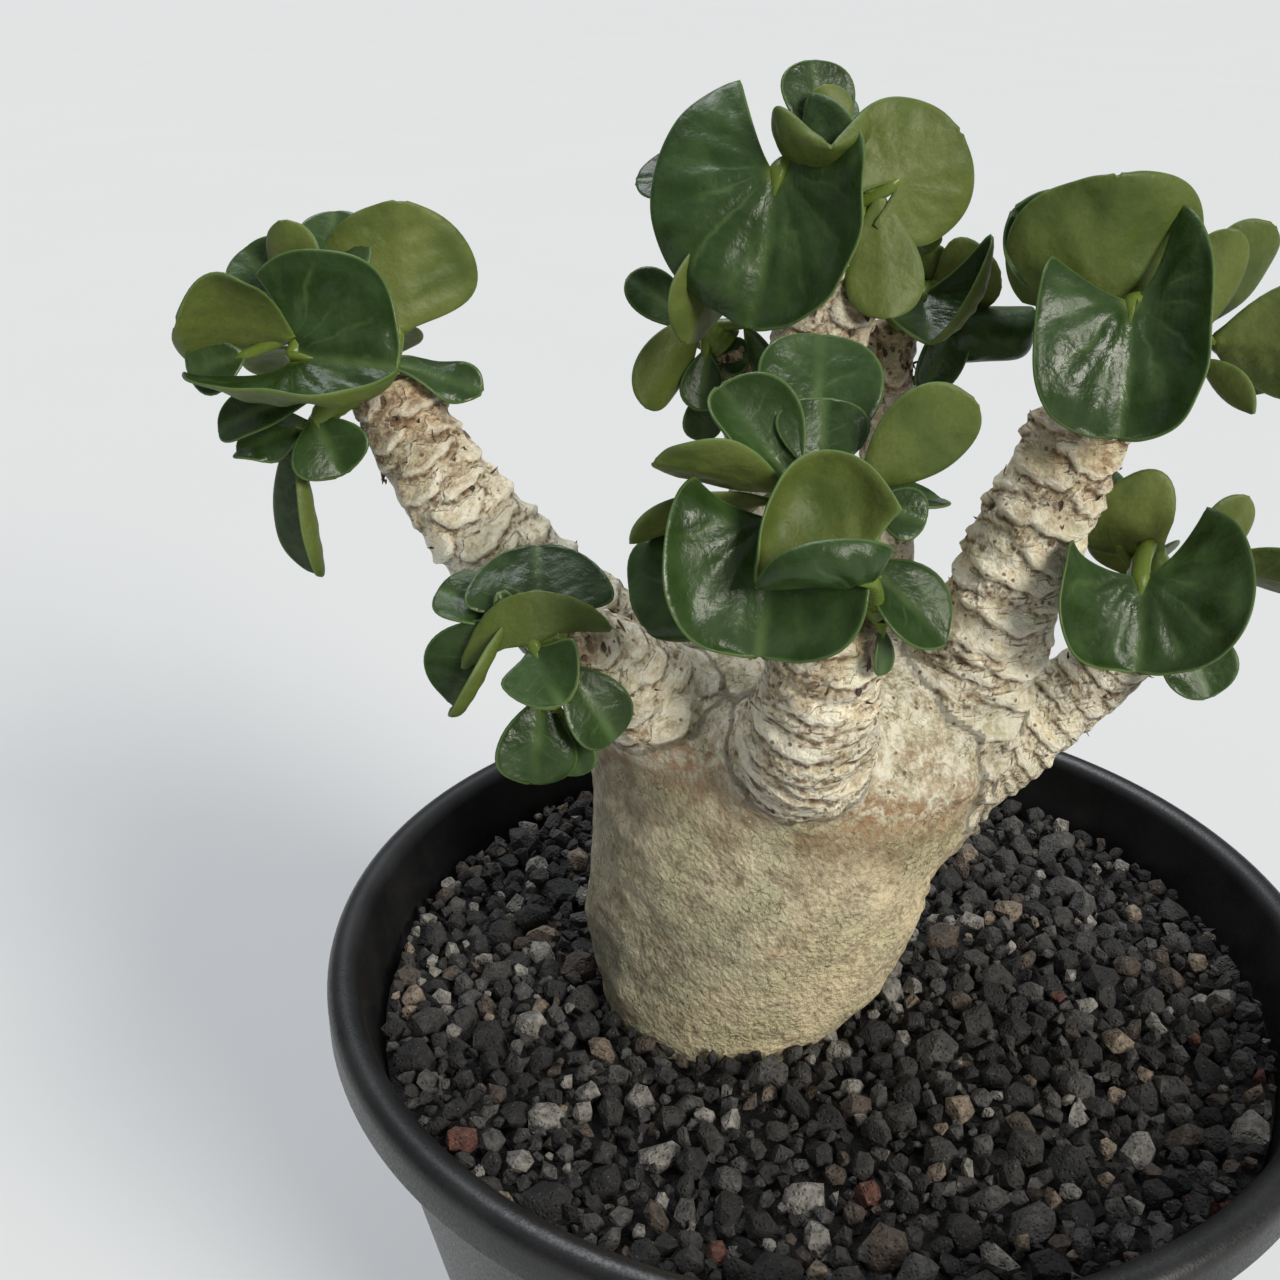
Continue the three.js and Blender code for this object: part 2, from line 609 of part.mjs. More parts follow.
// The pot: one wall from the floor up to a rim that rolls outward and down over a hollow, with drain
// holes in the floor.
function makePot() {
  const hollowTop = POT_HEIGHT - RIM_HOLLOW_DEPTH;
  const profile = [
    [0, 0],
    [POT_BASE_RADIUS - FOOT_ROUND, 0],
    [outerWallAt(FOOT_ROUND), FOOT_ROUND],
    [outerWallAt(hollowTop), hollowTop - RIM_WALL / 2],
    [outerWallAt(hollowTop) + RIM_WALL / 2, hollowTop],
    [POT_RIM_RADIUS - RIM_WALL, hollowTop - RIM_WALL / 2],
    [POT_RIM_RADIUS - RIM_WALL, POT_HEIGHT - RIM_DROP],
    [POT_RIM_RADIUS - RIM_WALL / 4, POT_HEIGHT - RIM_DROP],
    [POT_RIM_RADIUS, POT_HEIGHT - RIM_DROP + RIM_WALL / 4],
    ...rimRound(),
    [innerWallAt(POT_FLOOR + FOOT_ROUND), POT_FLOOR + FOOT_ROUND],
    [innerWallAt(POT_FLOOR) - FOOT_ROUND, POT_FLOOR],
    [0, POT_FLOOR],
  ].map(([r, z]) => new THREE.Vector2(r, z));
  const lathe = new THREE.LatheGeometry(profile, POT_SIDES).rotateX(Math.PI / 2);
  let pot = solidOf(lathe);
  for (let i = 0; i < DRAIN_HOLES; i++) {
    const angle = (2 * Math.PI * i) / DRAIN_HOLES;
    const hole = new THREE.CylinderGeometry(DRAIN_HOLE_RADIUS, DRAIN_HOLE_RADIUS, 4 * POT_FLOOR, 12)
      .rotateX(Math.PI / 2)
      .translate(DRAIN_CIRCLE_RADIUS * Math.cos(angle), DRAIN_CIRCLE_RADIUS * Math.sin(angle), 0);
    pot = pot.subtract(solidOf(hole));
  }
  return pot;
}

// The rim's rounded top, from its outside over to its inside.
function rimRound() {
  const middle = POT_RIM_RADIUS - RIM_WIDTH / 2;
  const points = [];
  for (let i = 0; i <= RIM_STEPS; i++) {
    const angle = (Math.PI * i) / RIM_STEPS;
    points.push([
      middle + (RIM_WIDTH / 2) * Math.cos(angle),
      POT_HEIGHT - RIM_ROUND + RIM_ROUND * Math.sin(angle),
    ]);
  }
  return points;
}

// The pot's inner radius at a height.
function innerWallAt(z) {
  const rise = POT_HEIGHT - RIM_ROUND - POT_FLOOR;
  const lowRadius = POT_BASE_RADIUS - POT_WALL;
  return lowRadius + ((POT_RIM_RADIUS - RIM_WIDTH - lowRadius) * (z - POT_FLOOR)) / rise;
}

// The potting mix: a plug that fills the pot up to the gravel.
function makeMix() {
  const low = POT_FLOOR + GAP;
  const high = GRAVEL_TOP - GRAVEL_DEPTH - GAP;
  const profile = [
    [0, low],
    [innerWallAt(low) - FOOT_ROUND - GAP, low],
    [innerWallAt(low + FOOT_ROUND) - GAP, low + FOOT_ROUND],
    [innerWallAt(high) - GAP, high],
    [0, high],
  ].map(([r, z]) => new THREE.Vector2(r, z));
  return solidOf(new THREE.LatheGeometry(profile, POT_SIDES).rotateX(Math.PI / 2));
}

// The gravel: a layer whose top is a close field of angular stones, one peak and six hollows each, on
// rings of 6, 12, 18 ... points.
function makeGravel() {
  const random = makeRandom(7);
  const low = GRAVEL_TOP - GRAVEL_DEPTH;
  const rimRadius = innerWallAt(low) - GAP;
  const points = [new THREE.Vector3(0, 0, GRAVEL_TOP)];
  const firstOfRing = [0];
  for (let ring = 1; ring <= GRAVEL_RINGS; ring++) {
    firstOfRing.push(points.length);
    for (let k = 0; k < 6 * ring; k++) {
      // A point's place in the hexagonal lattice says whether it is a stone's peak.
      const peak = (ring + (k % ring)) % 3 === 0;
      const wander = ring === GRAVEL_RINGS ? 0 : STONE_WANDER;
      const angle = (2 * Math.PI * k) / (6 * ring);
      const radius = (rimRadius * ring) / GRAVEL_RINGS;
      const tall = random() > 0.85 ? 1.6 : 1;
      const rise = peak ? tall * (0.4 + 0.6 * random()) : 0.3 * (random() - 0.6);
      points.push(
        new THREE.Vector3(
          radius * Math.cos(angle) + wander * (random() - 0.5),
          radius * Math.sin(angle) + wander * (random() - 0.5),
          GRAVEL_TOP - STONE_RELIEF + STONE_RELIEF * rise,
        ),
      );
    }
  }
  const faces = [];
  for (let ring = 1; ring <= GRAVEL_RINGS; ring++) {
    const inner = firstOfRing[ring - 1];
    const outer = firstOfRing[ring];
    const innerCount = Math.max(6 * (ring - 1), 1);
    const outerCount = 6 * ring;
    for (let side = 0; side < 6; side++) {
      for (let k = 0; k < ring; k++) {
        const a = outer + side * ring + k;
        const b = outer + ((side * ring + k + 1) % outerCount);
        const c = inner + ((side * (ring - 1) + k) % innerCount);
        faces.push(a, b, c);
        if (k + 1 < ring) {
          const d = inner + ((side * (ring - 1) + k + 1) % innerCount);
          faces.push(b, d, c);
        }
      }
    }
  }
  const rim = firstOfRing[GRAVEL_RINGS];
  const rimCount = 6 * GRAVEL_RINGS;
  const floor = points.length;
  for (let k = 0; k < rimCount; k++) {
    points.push(points[rim + k].clone().setZ(low));
  }
  for (let k = 0; k < rimCount; k++) {
    const next = (k + 1) % rimCount;
    faces.push(rim + k, floor + k, floor + next, rim + k, floor + next, rim + next);
    if (k > 0 && k + 1 < rimCount) {
      faces.push(floor, floor + next, floor + k);
    }
  }
  const bed = new THREE.BufferGeometry().setFromPoints(points);
  bed.setIndex(faces);
  return solidOf(bed);
}

// The trunk with its branches, wider all round by grow: one grown piece.
function makeCaudex(grow = 0) {
  const rings = TRUNK_SECTIONS.map(([z, x, y, halfX, halfY], level) => {
    const ring = [];
    for (let k = 0; k < TRUNK_SIDES; k++) {
      const angle = (2 * Math.PI * k) / TRUNK_SIDES;
      const lump = 1 + 0.02 * Math.sin(3 * angle + 0.9 * level) + 0.015 * Math.sin(5 * angle - 1.7 * level);
      ring.push(
        new THREE.Vector3(
          x + (halfX * lump + grow) * Math.cos(angle),
          y + (halfY * lump + grow) * Math.sin(angle),
          level === 0 ? z - grow : z,
        ),
      );
    }
    return ring;
  });
  let caudex = solidOf(loft(rings));
  for (const { sides, line } of BRANCHES) {
    const length = new THREE.CatmullRomCurve3(
      line.map(([x, y, z]) => new THREE.Vector3(x, y, z)),
    ).getLength();
    const steps = Math.round(length / SCAR_SPACING);
    const scars = (i, angle) => 1 + SCAR_RELIEF * (i % 2 ? 1 : -1) * (0.6 + 0.4 * Math.cos(angle + 2.1 * i));
    caudex = caudex.add(limb(line, sides, steps, grow, scars));
  }
  return caudex;
}

function direction([azimuth, elevation]) {
  return new THREE.Vector3(
    Math.cos(azimuth * DEGREE) * Math.cos(elevation * DEGREE),
    Math.sin(azimuth * DEGREE) * Math.cos(elevation * DEGREE),
    Math.sin(elevation * DEGREE),
  );
}

// Half the blade's width at a share of its length, as a share of its widest half.
function halfWidth(t, blunt, point) {
  const peak = BLADE_WIDENING / (BLADE_WIDENING + point * blunt);
  const widest = peak ** (BLADE_WIDENING / blunt) * (1 - peak) ** point;
  const blade = (t ** BLADE_WIDENING * (1 - t ** blunt) ** point) / widest;
  return Math.max(PETIOLE_SHARE * Math.sqrt(1 - t), blade);
}

// The margin of one half of a round leaf, from the notch at s = 0 to the tip at s = 1: how far it is along
// the midrib, as a share of the length, and how far out, as a share of the widest half.
function lobeMargin(s, lobe, notch, square) {
  const turn = (1 - s) * (180 - notch) * DEGREE;
  const ahead = Math.sign(Math.cos(turn)) * Math.abs(Math.cos(turn)) ** (2 / square);
  return {
    reach: (1 - lobe) / 2 + ((1 + lobe) / 2) * ahead,
    spread: Math.abs(Math.sin(turn)) ** (2 / square),
  };
}

// The midrib as a function of the share of its length, which may be less than 0 behind the foot.
function makeMidrib(leaf, foot) {
  const steps = 64;
  const forward = direction(leaf.aim);
  const face = direction(leaf.face);
  face.addScaledVector(forward, -face.dot(forward)).normalize();
  const side = forward.clone().cross(face);
  const march = (sign, span) => {
    const frames = [{ point: foot.clone(), forward: forward.clone(), face: face.clone() }];
    const turn = (-sign * (sign > 0 ? 1 : 0.5) * leaf.bend * DEGREE * span) / steps;
    for (let i = 0; i < steps; i++) {
      const last = frames[i];
      const next = {
        point: last.point.clone(),
        forward: last.forward.clone().applyAxisAngle(side, turn),
        face: last.face.clone().applyAxisAngle(side, turn),
      };
      const stride = (sign * leaf.length * span) / steps / 2;
      next.point.addScaledVector(last.forward, stride).addScaledVector(next.forward, stride);
      frames.push(next);
    }
    return frames;
  };
  const ahead = march(1, 1);
  const behind = march(-1, BLADE_BACK);
  return (t) => {
    const frames = t < 0 ? behind : ahead;
    const place = Math.min(Math.abs(t) / (t < 0 ? BLADE_BACK : 1), 1) * steps;
    const i = Math.min(Math.floor(place), steps - 1);
    const share = place - i;
    return {
      point: frames[i].point.clone().lerp(frames[i + 1].point, share),
      face: frames[i].face.clone().lerp(frames[i + 1].face, share),
      side,
    };
  };
}

// The blade's middle surface: rows from the foot to the tip, columns from the left margin to the right.
function bladeRows(leaf, foot, rowCount, leftCount, rightCount) {
  const { fan = 0, skew = 0, blunt = 1.5, point = 0.5, wave = 0 } = leaf;
  const { lobe = [0, 0], notch = [0, 0], square = 2 } = leaf;
  const midrib = makeMidrib(leaf, foot);
  const fullHalf = leaf.width / 2;
  const rows = [];
  for (let r = 0; r <= rowCount; r++) {
    const t = Math.sin((Math.PI / 2) * (r / rowCount));
    const makeSide = (sign, count) => {
      const which = sign > 0 ? 1 : 0;
      const margin = lobe[which] > 0 && lobeMargin(r / rowCount, lobe[which], notch[which], square);
      const spread = margin ? margin.spread : halfWidth(t, blunt, point);
      const half = fullHalf * spread * (1 + sign * skew);
      const fine = 6;
      const places = [];
      let out = 0;
      let up = 0;
      for (let k = 0; k <= count * fine; k++) {
        const u = k / (count * fine);
        if (k % fine === 0) {
          const wide = (half * u) / fullHalf;
          const swept = margin ? t + (margin.reach - t) * u ** NOTCH_CURVE : t - fan * wide * wide;
          const frame = midrib(Math.max(swept, -BLADE_BACK));
          const ripple =
            wave * Math.sin(2 * Math.PI * t + (sign > 0 ? 0 : 1.7)) * u * u * Math.min(1, half / fullHalf);
          places.push(
            frame.point
              .clone()
              .addScaledVector(frame.side, sign * out)
              .addScaledVector(frame.face, up + ripple),
          );
        }
        const middle = (k + 0.5) / (count * fine);
        const slope = DEGREE * leaf.cup[which] * middle;
        out += (Math.cos(slope) * half) / (count * fine);
        up += (Math.sin(slope) * half) / (count * fine);
      }
      return places;
    };
    const left = makeSide(-1, leftCount);
    const right = makeSide(1, rightCount);
    rows.push([...left.reverse(), ...right.slice(1)]);
  }
  return rows;
}

// How many columns a half blade needs to show its curl.
function columnsFor(halfSpan, cup) {
  const curl = Math.abs(cup);
  if (halfSpan < 4.5) {
    return 1;
  }
  return curl > 90 ? 4 : curl > 55 ? 3 : 2;
}

// How many rows a blade needs along its length.
function rowsFor({ length, width, lobe }) {
  if (lobe) {
    return width > 30 ? 6 : 4;
  }
  if (length < 11) {
    return 2;
  }
  if (length < 21 || width < 14) {
    return 3;
  }
  return length < 27 ? 4 : 5;
}

// One blade with an even thickness: its two faces share their rows, columns and diagonals. Where a root
// point is given, a stalk runs back to it from the foot as a part of the same surface.
function makeBlade(leaf, foot, root) {
  const { skew = 0 } = leaf;
  const rowCount = rowsFor(leaf);
  const leftCount = columnsFor((leaf.width / 2) * (1 - skew), leaf.cup[0]);
  const rightCount = columnsFor((leaf.width / 2) * (1 + skew), leaf.cup[1]);
  const rows = bladeRows(leaf, foot, rowCount, leftCount, rightCount);
  const columns = leftCount + rightCount;
  const halfThickness = BLADE_THICKNESS / 2;
  const upper = [];
  const lower = [];
  const place = (point, normal, half = halfThickness) => {
    upper.push(point.clone().addScaledVector(normal, half));
    lower.push(point.clone().addScaledVector(normal, -half));
  };
  const normalAt = (r, c) => {
    const along = rows[Math.min(r + 1, rowCount)][c].clone().sub(rows[Math.max(r - 1, 0)][c]);
    const across = rows[r][Math.min(c + 1, columns)].clone().sub(rows[r][Math.max(c - 1, 0)]);
    return across.cross(along).normalize();
  };
  for (let r = 0; r < rowCount; r++) {
    for (let c = 0; c <= columns; c++) {
      place(rows[r][c], normalAt(r, c));
    }
  }
  const tip = upper.length;
  place(rows[rowCount][leftCount], normalAt(rowCount - 1, leftCount));
  const faces = [];
  const quads = [];
  const at = (r, c) => r * (columns + 1) + c;
  for (let c = 0; c < columns; c++) {
    for (let r = 0; r + 1 < rowCount; r++) {
      quads.push([at(r, c), at(r, c + 1), at(r + 1, c + 1)], [at(r, c), at(r + 1, c + 1), at(r + 1, c)]);
    }
    quads.push([at(rowCount - 1, c), at(rowCount - 1, c + 1), tip]);
  }
  // The outline of the upper sheet, counterclockwise as seen from above.
  const outline = [];
  if (root) {
    const { face, side } = makeMidrib(leaf, foot)(0);
    const left = upper.length;
    place(root.clone().addScaledVector(side, -STALK_RADIUS), face, STALK_RADIUS);
    place(root.clone().addScaledVector(side, STALK_RADIUS), face, STALK_RADIUS);
    for (let c = 0; c < columns; c++) {
      quads.push([c < leftCount ? left : left + 1, at(0, c + 1), at(0, c)]);
    }
    quads.push([left, left + 1, at(0, leftCount)]);
    outline.push(left, left + 1);
  } else {
    for (let c = 0; c < columns; c++) {
      outline.push(at(0, c));
    }
  }
  for (let r = 0; r < rowCount; r++) {
    outline.push(at(r, columns));
  }
  outline.push(tip);
  for (let r = rowCount - 1; r >= (root ? 0 : 1); r--) {
    outline.push(at(r, 0));
  }
  const total = upper.length;
  for (const [a, b, c] of quads) {
    faces.push(a, b, c, total + a, total + c, total + b);
  }
  outline.forEach((a, i) => {
    const b = outline[(i + 1) % outline.length];
    faces.push(b, a, total + a, b, total + a, total + b);
  });
  const geometry = new THREE.BufferGeometry().setFromPoints([...upper, ...lower]);
  geometry.setIndex(faces);
  return solidOf(geometry);
}

// Where a leaf's stalk leaves the shoots: near its foot, and where it can well behind the blade.
function findRoot(shoots, foot, forward) {
  let best = { cost: Infinity };
  for (const line of shoots) {
    const path = new THREE.CatmullRomCurve3(line.map(([x, y, z]) => new THREE.Vector3(x, y, z)));
    for (const point of path.getPoints(20)) {
      const stalk = foot.clone().sub(point);
      const distance = stalk.length();
      const lean = stalk.normalize().dot(forward);
      const cost = distance * (1.4 - lean);
      if (cost < best.cost) {
        best = { cost, point, distance, lean };
      }
    }
  }
  return best;
}

// A rosette: its shoot ends, with every blade on its own stalk.
function makeRosette(name) {
  const shoots = SHOOTS[name];
  const centre = new THREE.Vector3(...ROSETTE_CENTRES[name]);
  const solids = shoots.map((line, i) => limb(line, i ? 5 : 7, 2));
  for (const leaf of LEAVES[name]) {
    const foot = new THREE.Vector3(...leaf.at).add(centre);
    const { point, distance, lean } = findRoot(shoots, foot, direction(leaf.aim));
    if (distance < STALK_RADIUS) {
      solids.push(makeBlade(leaf, foot));
    } else if (lean > LEAST_LEAN && !leaf.lobe) {
      solids.push(makeBlade(leaf, foot, point));
    } else {
      const end = foot.clone().addScaledVector(direction(leaf.aim), 1);
      solids.push(makeBlade(leaf, foot));
      solids.push(limb([[...point, STALK_RADIUS], [...end, BLADE_THICKNESS / 3]], 4, 1));
    }
  }
  return joined(solids);
}

const plant = new THREE.Group();

function addNode(name, solid, material) {
  const surface = closeShortEdges(mainShell(geometryOf(solid)), SHORTEST_EDGE);
  const mesh = new THREE.Mesh(surface.toNonIndexed(), material);
  mesh.name = name;
  plant.add(mesh);
}

const rootHole = makeCaudex(GAP);
const leafHole = makeCaudex(2 * GAP);
const caudex = makeCaudex();
addNode("pot", makePot(), potPlastic);
addNode("potting_mix", makeMix().subtract(rootHole), soil);
addNode("gravel", makeGravel().subtract(rootHole), lava);
addNode("caudex", caudex, bark);
for (const name of Object.keys(LEAVES)) {
  addNode(name, makeRosette(name).subtract(leafHole), leafGreen);
}

export default plant;
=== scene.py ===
"""A potted curly-leaved adenium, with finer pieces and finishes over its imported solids.

Sizes are in millimetres and MM turns them into Blender's metres. X is to the right, Z is up and the
camera looks towards +Y.
"""

import functools
import json
import logging
import math
from collections.abc import Sequence
from dataclasses import dataclass
from enum import Enum
from typing import Any

import bmesh
import bpy
import numpy as np
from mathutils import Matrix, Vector

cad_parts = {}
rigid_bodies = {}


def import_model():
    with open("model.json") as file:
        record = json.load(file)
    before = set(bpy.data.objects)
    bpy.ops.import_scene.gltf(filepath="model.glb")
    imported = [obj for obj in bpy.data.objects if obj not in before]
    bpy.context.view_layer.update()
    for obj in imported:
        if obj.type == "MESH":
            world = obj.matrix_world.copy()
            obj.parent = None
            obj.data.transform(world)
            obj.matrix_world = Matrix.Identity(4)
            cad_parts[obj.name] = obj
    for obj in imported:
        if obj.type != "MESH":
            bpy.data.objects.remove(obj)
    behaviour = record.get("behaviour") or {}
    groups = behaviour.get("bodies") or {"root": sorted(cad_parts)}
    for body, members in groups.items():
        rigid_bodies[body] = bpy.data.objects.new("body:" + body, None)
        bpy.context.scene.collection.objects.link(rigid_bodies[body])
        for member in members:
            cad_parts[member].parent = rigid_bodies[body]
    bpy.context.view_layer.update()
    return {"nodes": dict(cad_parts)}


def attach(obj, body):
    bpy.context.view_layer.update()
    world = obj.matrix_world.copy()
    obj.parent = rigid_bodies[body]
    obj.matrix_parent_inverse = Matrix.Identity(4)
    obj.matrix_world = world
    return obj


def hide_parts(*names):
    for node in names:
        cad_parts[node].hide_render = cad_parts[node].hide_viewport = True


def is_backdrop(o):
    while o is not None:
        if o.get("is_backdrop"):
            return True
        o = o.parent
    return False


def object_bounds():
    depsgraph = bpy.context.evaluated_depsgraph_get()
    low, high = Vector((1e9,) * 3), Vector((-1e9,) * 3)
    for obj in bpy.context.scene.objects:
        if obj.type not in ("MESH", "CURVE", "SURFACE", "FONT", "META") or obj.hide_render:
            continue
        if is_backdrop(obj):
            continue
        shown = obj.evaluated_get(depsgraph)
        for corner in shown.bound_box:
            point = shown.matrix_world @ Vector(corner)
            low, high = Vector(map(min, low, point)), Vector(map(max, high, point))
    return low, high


MM = 0.001
BODY = "root"
GOLDEN_ANGLE = math.radians(137.5)
FRONT = np.array([0.0, -1.0, 0.0])

Array = np.ndarray
Point = tuple[float, float, float]
Station = tuple[float, float, float, float]
Colour = tuple[float, float, float]
Pair = tuple[float, float]
Shades = tuple[Colour, Colour]
Faces = list[tuple[int, ...]]
Socket = bpy.types.NodeSocket
Shapes = bpy.types.Collection
Material = bpy.types.Material
Mesh = bpy.types.Mesh
Piece = bpy.types.Object

log = logging.getLogger("adenium")


def smoothstep(low: float, high: float, value: Array) -> Array:
    """Rises smoothly from 0 at low to 1 at high, or falls where low is the larger."""
    share = np.clip((value - low) / (high - low), 0.0, 1.0)
    return share * share * (3.0 - 2.0 * share)


def unit(vectors: Array) -> Array:
    """Gives vectors a length of 1."""
    return vectors / np.maximum(np.linalg.norm(vectors, axis=-1, keepdims=True), 1e-9)


def soft_noise(places: Array, size: float, seed: int) -> Array:
    """Smooth lumps between -1 and 1 on a seeded lattice.

    Args:
        places: Points, one per row.
        size: The lattice's spacing, in the points' own unit.
        seed: Chooses the lumps.

    Returns:
        One value per point.
    """
    strides = np.array([73856093, 19349663, 83492791])
    mixer, spread, top = 1274126177, 668265263, 0xFFFF
    scaled = places / size
    cell = np.floor(scaled).astype(np.int64)
    share = scaled - cell
    share = share * share * (3.0 - 2.0 * share)
    total = np.zeros(len(places))
    for corner in range(8):
        step = np.array([corner & 1, corner >> 1 & 1, corner >> 2 & 1])
        key = (cell + step) @ strides + seed * spread
        key = (key ^ (key >> 13)) * mixer
        value = ((key ^ (key >> 16)) & top) / (top / 2.0) - 1.0
        total += value * np.prod(np.where(step, share, 1.0 - share), axis=1)
    return total


@dataclass(frozen=True)
class Lumps:
    """Soft noise that raises and lowers a surface, with its depth and size in millimetres."""

    depth: float
    size: float
    seed: int
    squeeze: Point = (1.0, 1.0, 1.0)

    def at(self, places: Array) -> Array:
        """The lumps' height at places."""
        return self.depth * soft_noise(places * self.squeeze, self.size, self.seed)


def round_turn(count: int) -> Array:
    """Angles spread evenly over a full turn."""
    return np.linspace(0, 2 * math.pi, count, endpoint=False)


def ring_faces(rings: int, sides: int, first: int = 0) -> Faces:
    """Joins closed rings of points by quads.

    Args:
        rings: How many rings there are.
        sides: How many points each ring has.
        first: The place of the first ring's first point.

    Returns:
        The faces, ring by ring.
    """
    faces: Faces = []
    for start in range(first, first + (rings - 1) * sides, sides):
        for k in range(sides):
            a, b = start + k, start + (k + 1) % sides
            faces.append((a, b, b + sides, a + sides))
    return faces


def capped_rings(rings: int, sides: int) -> Faces:
    """Joins a stack of rings and caps both its ends."""
    last = (rings - 1) * sides
    return ring_faces(rings, sides) + [tuple(reversed(range(sides))), tuple(range(last, last + sides))]


def link(name: str, mesh: Mesh) -> Piece:
    """Puts a mesh into the scene.

    Args:
        name: The new piece's name.
        mesh: Its mesh.

    Returns:
        The piece, at the origin.
    """
    piece = bpy.data.objects.new(name, mesh)
    bpy.context.scene.collection.objects.link(piece)
    return piece


def keep_result(source: Piece, name: str) -> Piece:
    """Replaces an object by a plain mesh of what its modifiers make.

    Args:
        source: The object, which is removed.
        name: The new piece's name.

    Returns:
        The new piece.
    """
    bpy.context.view_layer.update()
    graph = bpy.context.evaluated_depsgraph_get()
    made = source.evaluated_get(graph)
    mesh = bpy.data.meshes.new_from_object(made, preserve_all_data_layers=True, depsgraph=graph)
    mesh.name = name
    bpy.data.objects.remove(source)
    return link(name, mesh)


def drop(shapes: Shapes) -> None:
    """Removes a collection of shapes that were only there to be set on points."""
    bpy.data.batch_remove(list(shapes.objects))
    bpy.data.collections.remove(shapes)


def follow(line: Sequence[Station], count: int) -> tuple[Array, Array]:
    """Runs a smooth curve through a line's stations.

    Args:
        line: x, y, z and radius at each station.
        count: How many points the curve gets.

    Returns:
        The curve's points, and the radius at each of them.
    """
    stations = np.array(line, float)
    padded = np.vstack([2 * stations[0] - stations[1], stations, 2 * stations[-1] - stations[-2]])
    steps = np.sqrt(np.linalg.norm(np.diff(padded[:, :3], axis=0), axis=1))
    points = []
    radii = []
    for place in np.linspace(0, len(stations) - 1, count):
        i = min(int(place), len(stations) - 2)
        w = place - i
        p0, p1, p2, p3 = padded[i : i + 4]
        d0, d1, d2 = steps[i : i + 3]
        start = ((p1 - p0) / d0 - (p2 - p0) / (d0 + d1) + (p2 - p1) / d1) * d1
        end = ((p2 - p1) / d1 - (p3 - p1) / (d1 + d2) + (p3 - p2) / d2) * d1
        start[3] = (p2[3] - p0[3]) / 2
        end[3] = (p3[3] - p1[3]) / 2
        cubic = 2 * p1 - 2 * p2 + start + end
        square = -3 * p1 + 3 * p2 - 2 * start - end
        here = ((cubic * w + square) * w + start) * w + p1
        points.append(here[:3])
        radii.append(here[3])
    return np.array(points), np.array(radii)


def frames_along(points: Array, across: Array) -> tuple[Array, Array, Array]:
    """Finds cross axes along a curve that turn as little as they can.

    Args:
        points: The curve's points.
        across: About where the first cross axis looks.

    Returns:
        The forward, across and up directions at each point.
    """
    forward = unit(np.gradient(points, axis=0))
    sides = []
    for ahead in forward:
        across = unit(across - ahead * np.dot(across, ahead))
        sides.append(across)
    sides = np.array(sides)
    return forward, sides, np.cross(forward, sides)


class Sculpt:
    """Gathers the points, faces and painted values of one piece."""

    def __init__(self) -> None:
        """Starts an empty piece."""
        self.points: list[Array] = []
        self.faces: Faces = []
        self.paints: dict[str, list[Array]] = {}
        self.count = 0

    def add(self, points: Array, faces: Sequence[Sequence[int]], **paints: Array) -> None:
        """Adds a part.

        Args:
            points: Its points, in millimetres.
            faces: Its faces, by the places of its own points.
            **paints: Values for each point, by attribute name.
        """
        self.points.append(points)
        self.faces.extend(tuple(self.count + int(i) for i in face) for face in faces)
        for name, values in paints.items():
            self.paints.setdefault(name, []).append(values)
        self.count += len(points)

    def make(self, name: str, material: Material | None, smooth: bool = True) -> Piece:
        """Turns what was gathered into a Blender object.

        Args:
            name: The piece's name.
            material: Its finish.
            smooth: Whether the faces are shaded smooth.

        Returns:
            The object, at the origin.
        """
        mesh = bpy.data.meshes.new(name)
        mesh.from_pydata((np.vstack(self.points) * MM).tolist(), [], self.faces)
        mesh.shade_smooth() if smooth else mesh.shade_flat()
        for paint_name, values in self.paints.items():
            paint(mesh, paint_name, np.concatenate(values))
        if material:
            mesh.materials.append(material)
        return link(name, mesh)


def paint(mesh: Mesh, name: str, values: Array) -> None:
    """Stores one number or one vector for each point of a mesh.

    Args:
        mesh: The mesh.
        name: The attribute's name.
        values: One row per point.
    """
    kinds = {1: ("FLOAT", "value"), 2: ("FLOAT_VECTOR", "vector")}
    kind, field_name = kinds[values.ndim]
    if values.dtype.kind == "i":
        kind = "INT"
    layer = mesh.attributes.new(name, kind, "POINT")
    layer.data.foreach_set(field_name, np.ascontiguousarray(values).ravel())


def read_vectors(items: Any, name: str) -> Array:
    """Reads one vector from each of a mesh's items.

    Args:
        items: The items, such as the mesh's points.
        name: The vector's name.

    Returns:
        The vectors, one per row.
    """
    values = np.empty(len(items) * 3, np.float32)
    items.foreach_get(name, values)
    return values.reshape(-1, 3).astype(float)


def move_points(mesh: Mesh, points: Array) -> None:
    """Moves all the points of a mesh to places in millimetres."""
    mesh.vertices.foreach_set("co", (points * MM).astype(np.float32).ravel())
    mesh.update()


def tube(centres: Array, radii: Array, sides: int, across: Array, flat: float = 1.0) -> tuple[Array, Faces]:
    """Makes a closed round or flattened tube along a curve.

    Args:
        centres: The curve's points.
        radii: The radius at each.
        sides: How many sides the tube has.
        across: About where its first side looks.
        flat: The height of the section at the curve's end, as a share of its width.

    Returns:
        The points and the faces, with a cap at each end.
    """
    _, side, up = frames_along(centres, across)
    turn = round_turn(sides)[None, :, None]
    height = np.linspace(1.0, flat, len(centres))[:, None, None]
    reach = radii[:, None, None]
    rings = centres[:, None] + reach * np.cos(turn) * side[:, None]
    rings = rings + reach * np.sin(turn) * up[:, None] * height
    return rings.reshape(-1, 3), capped_rings(len(centres), sides)


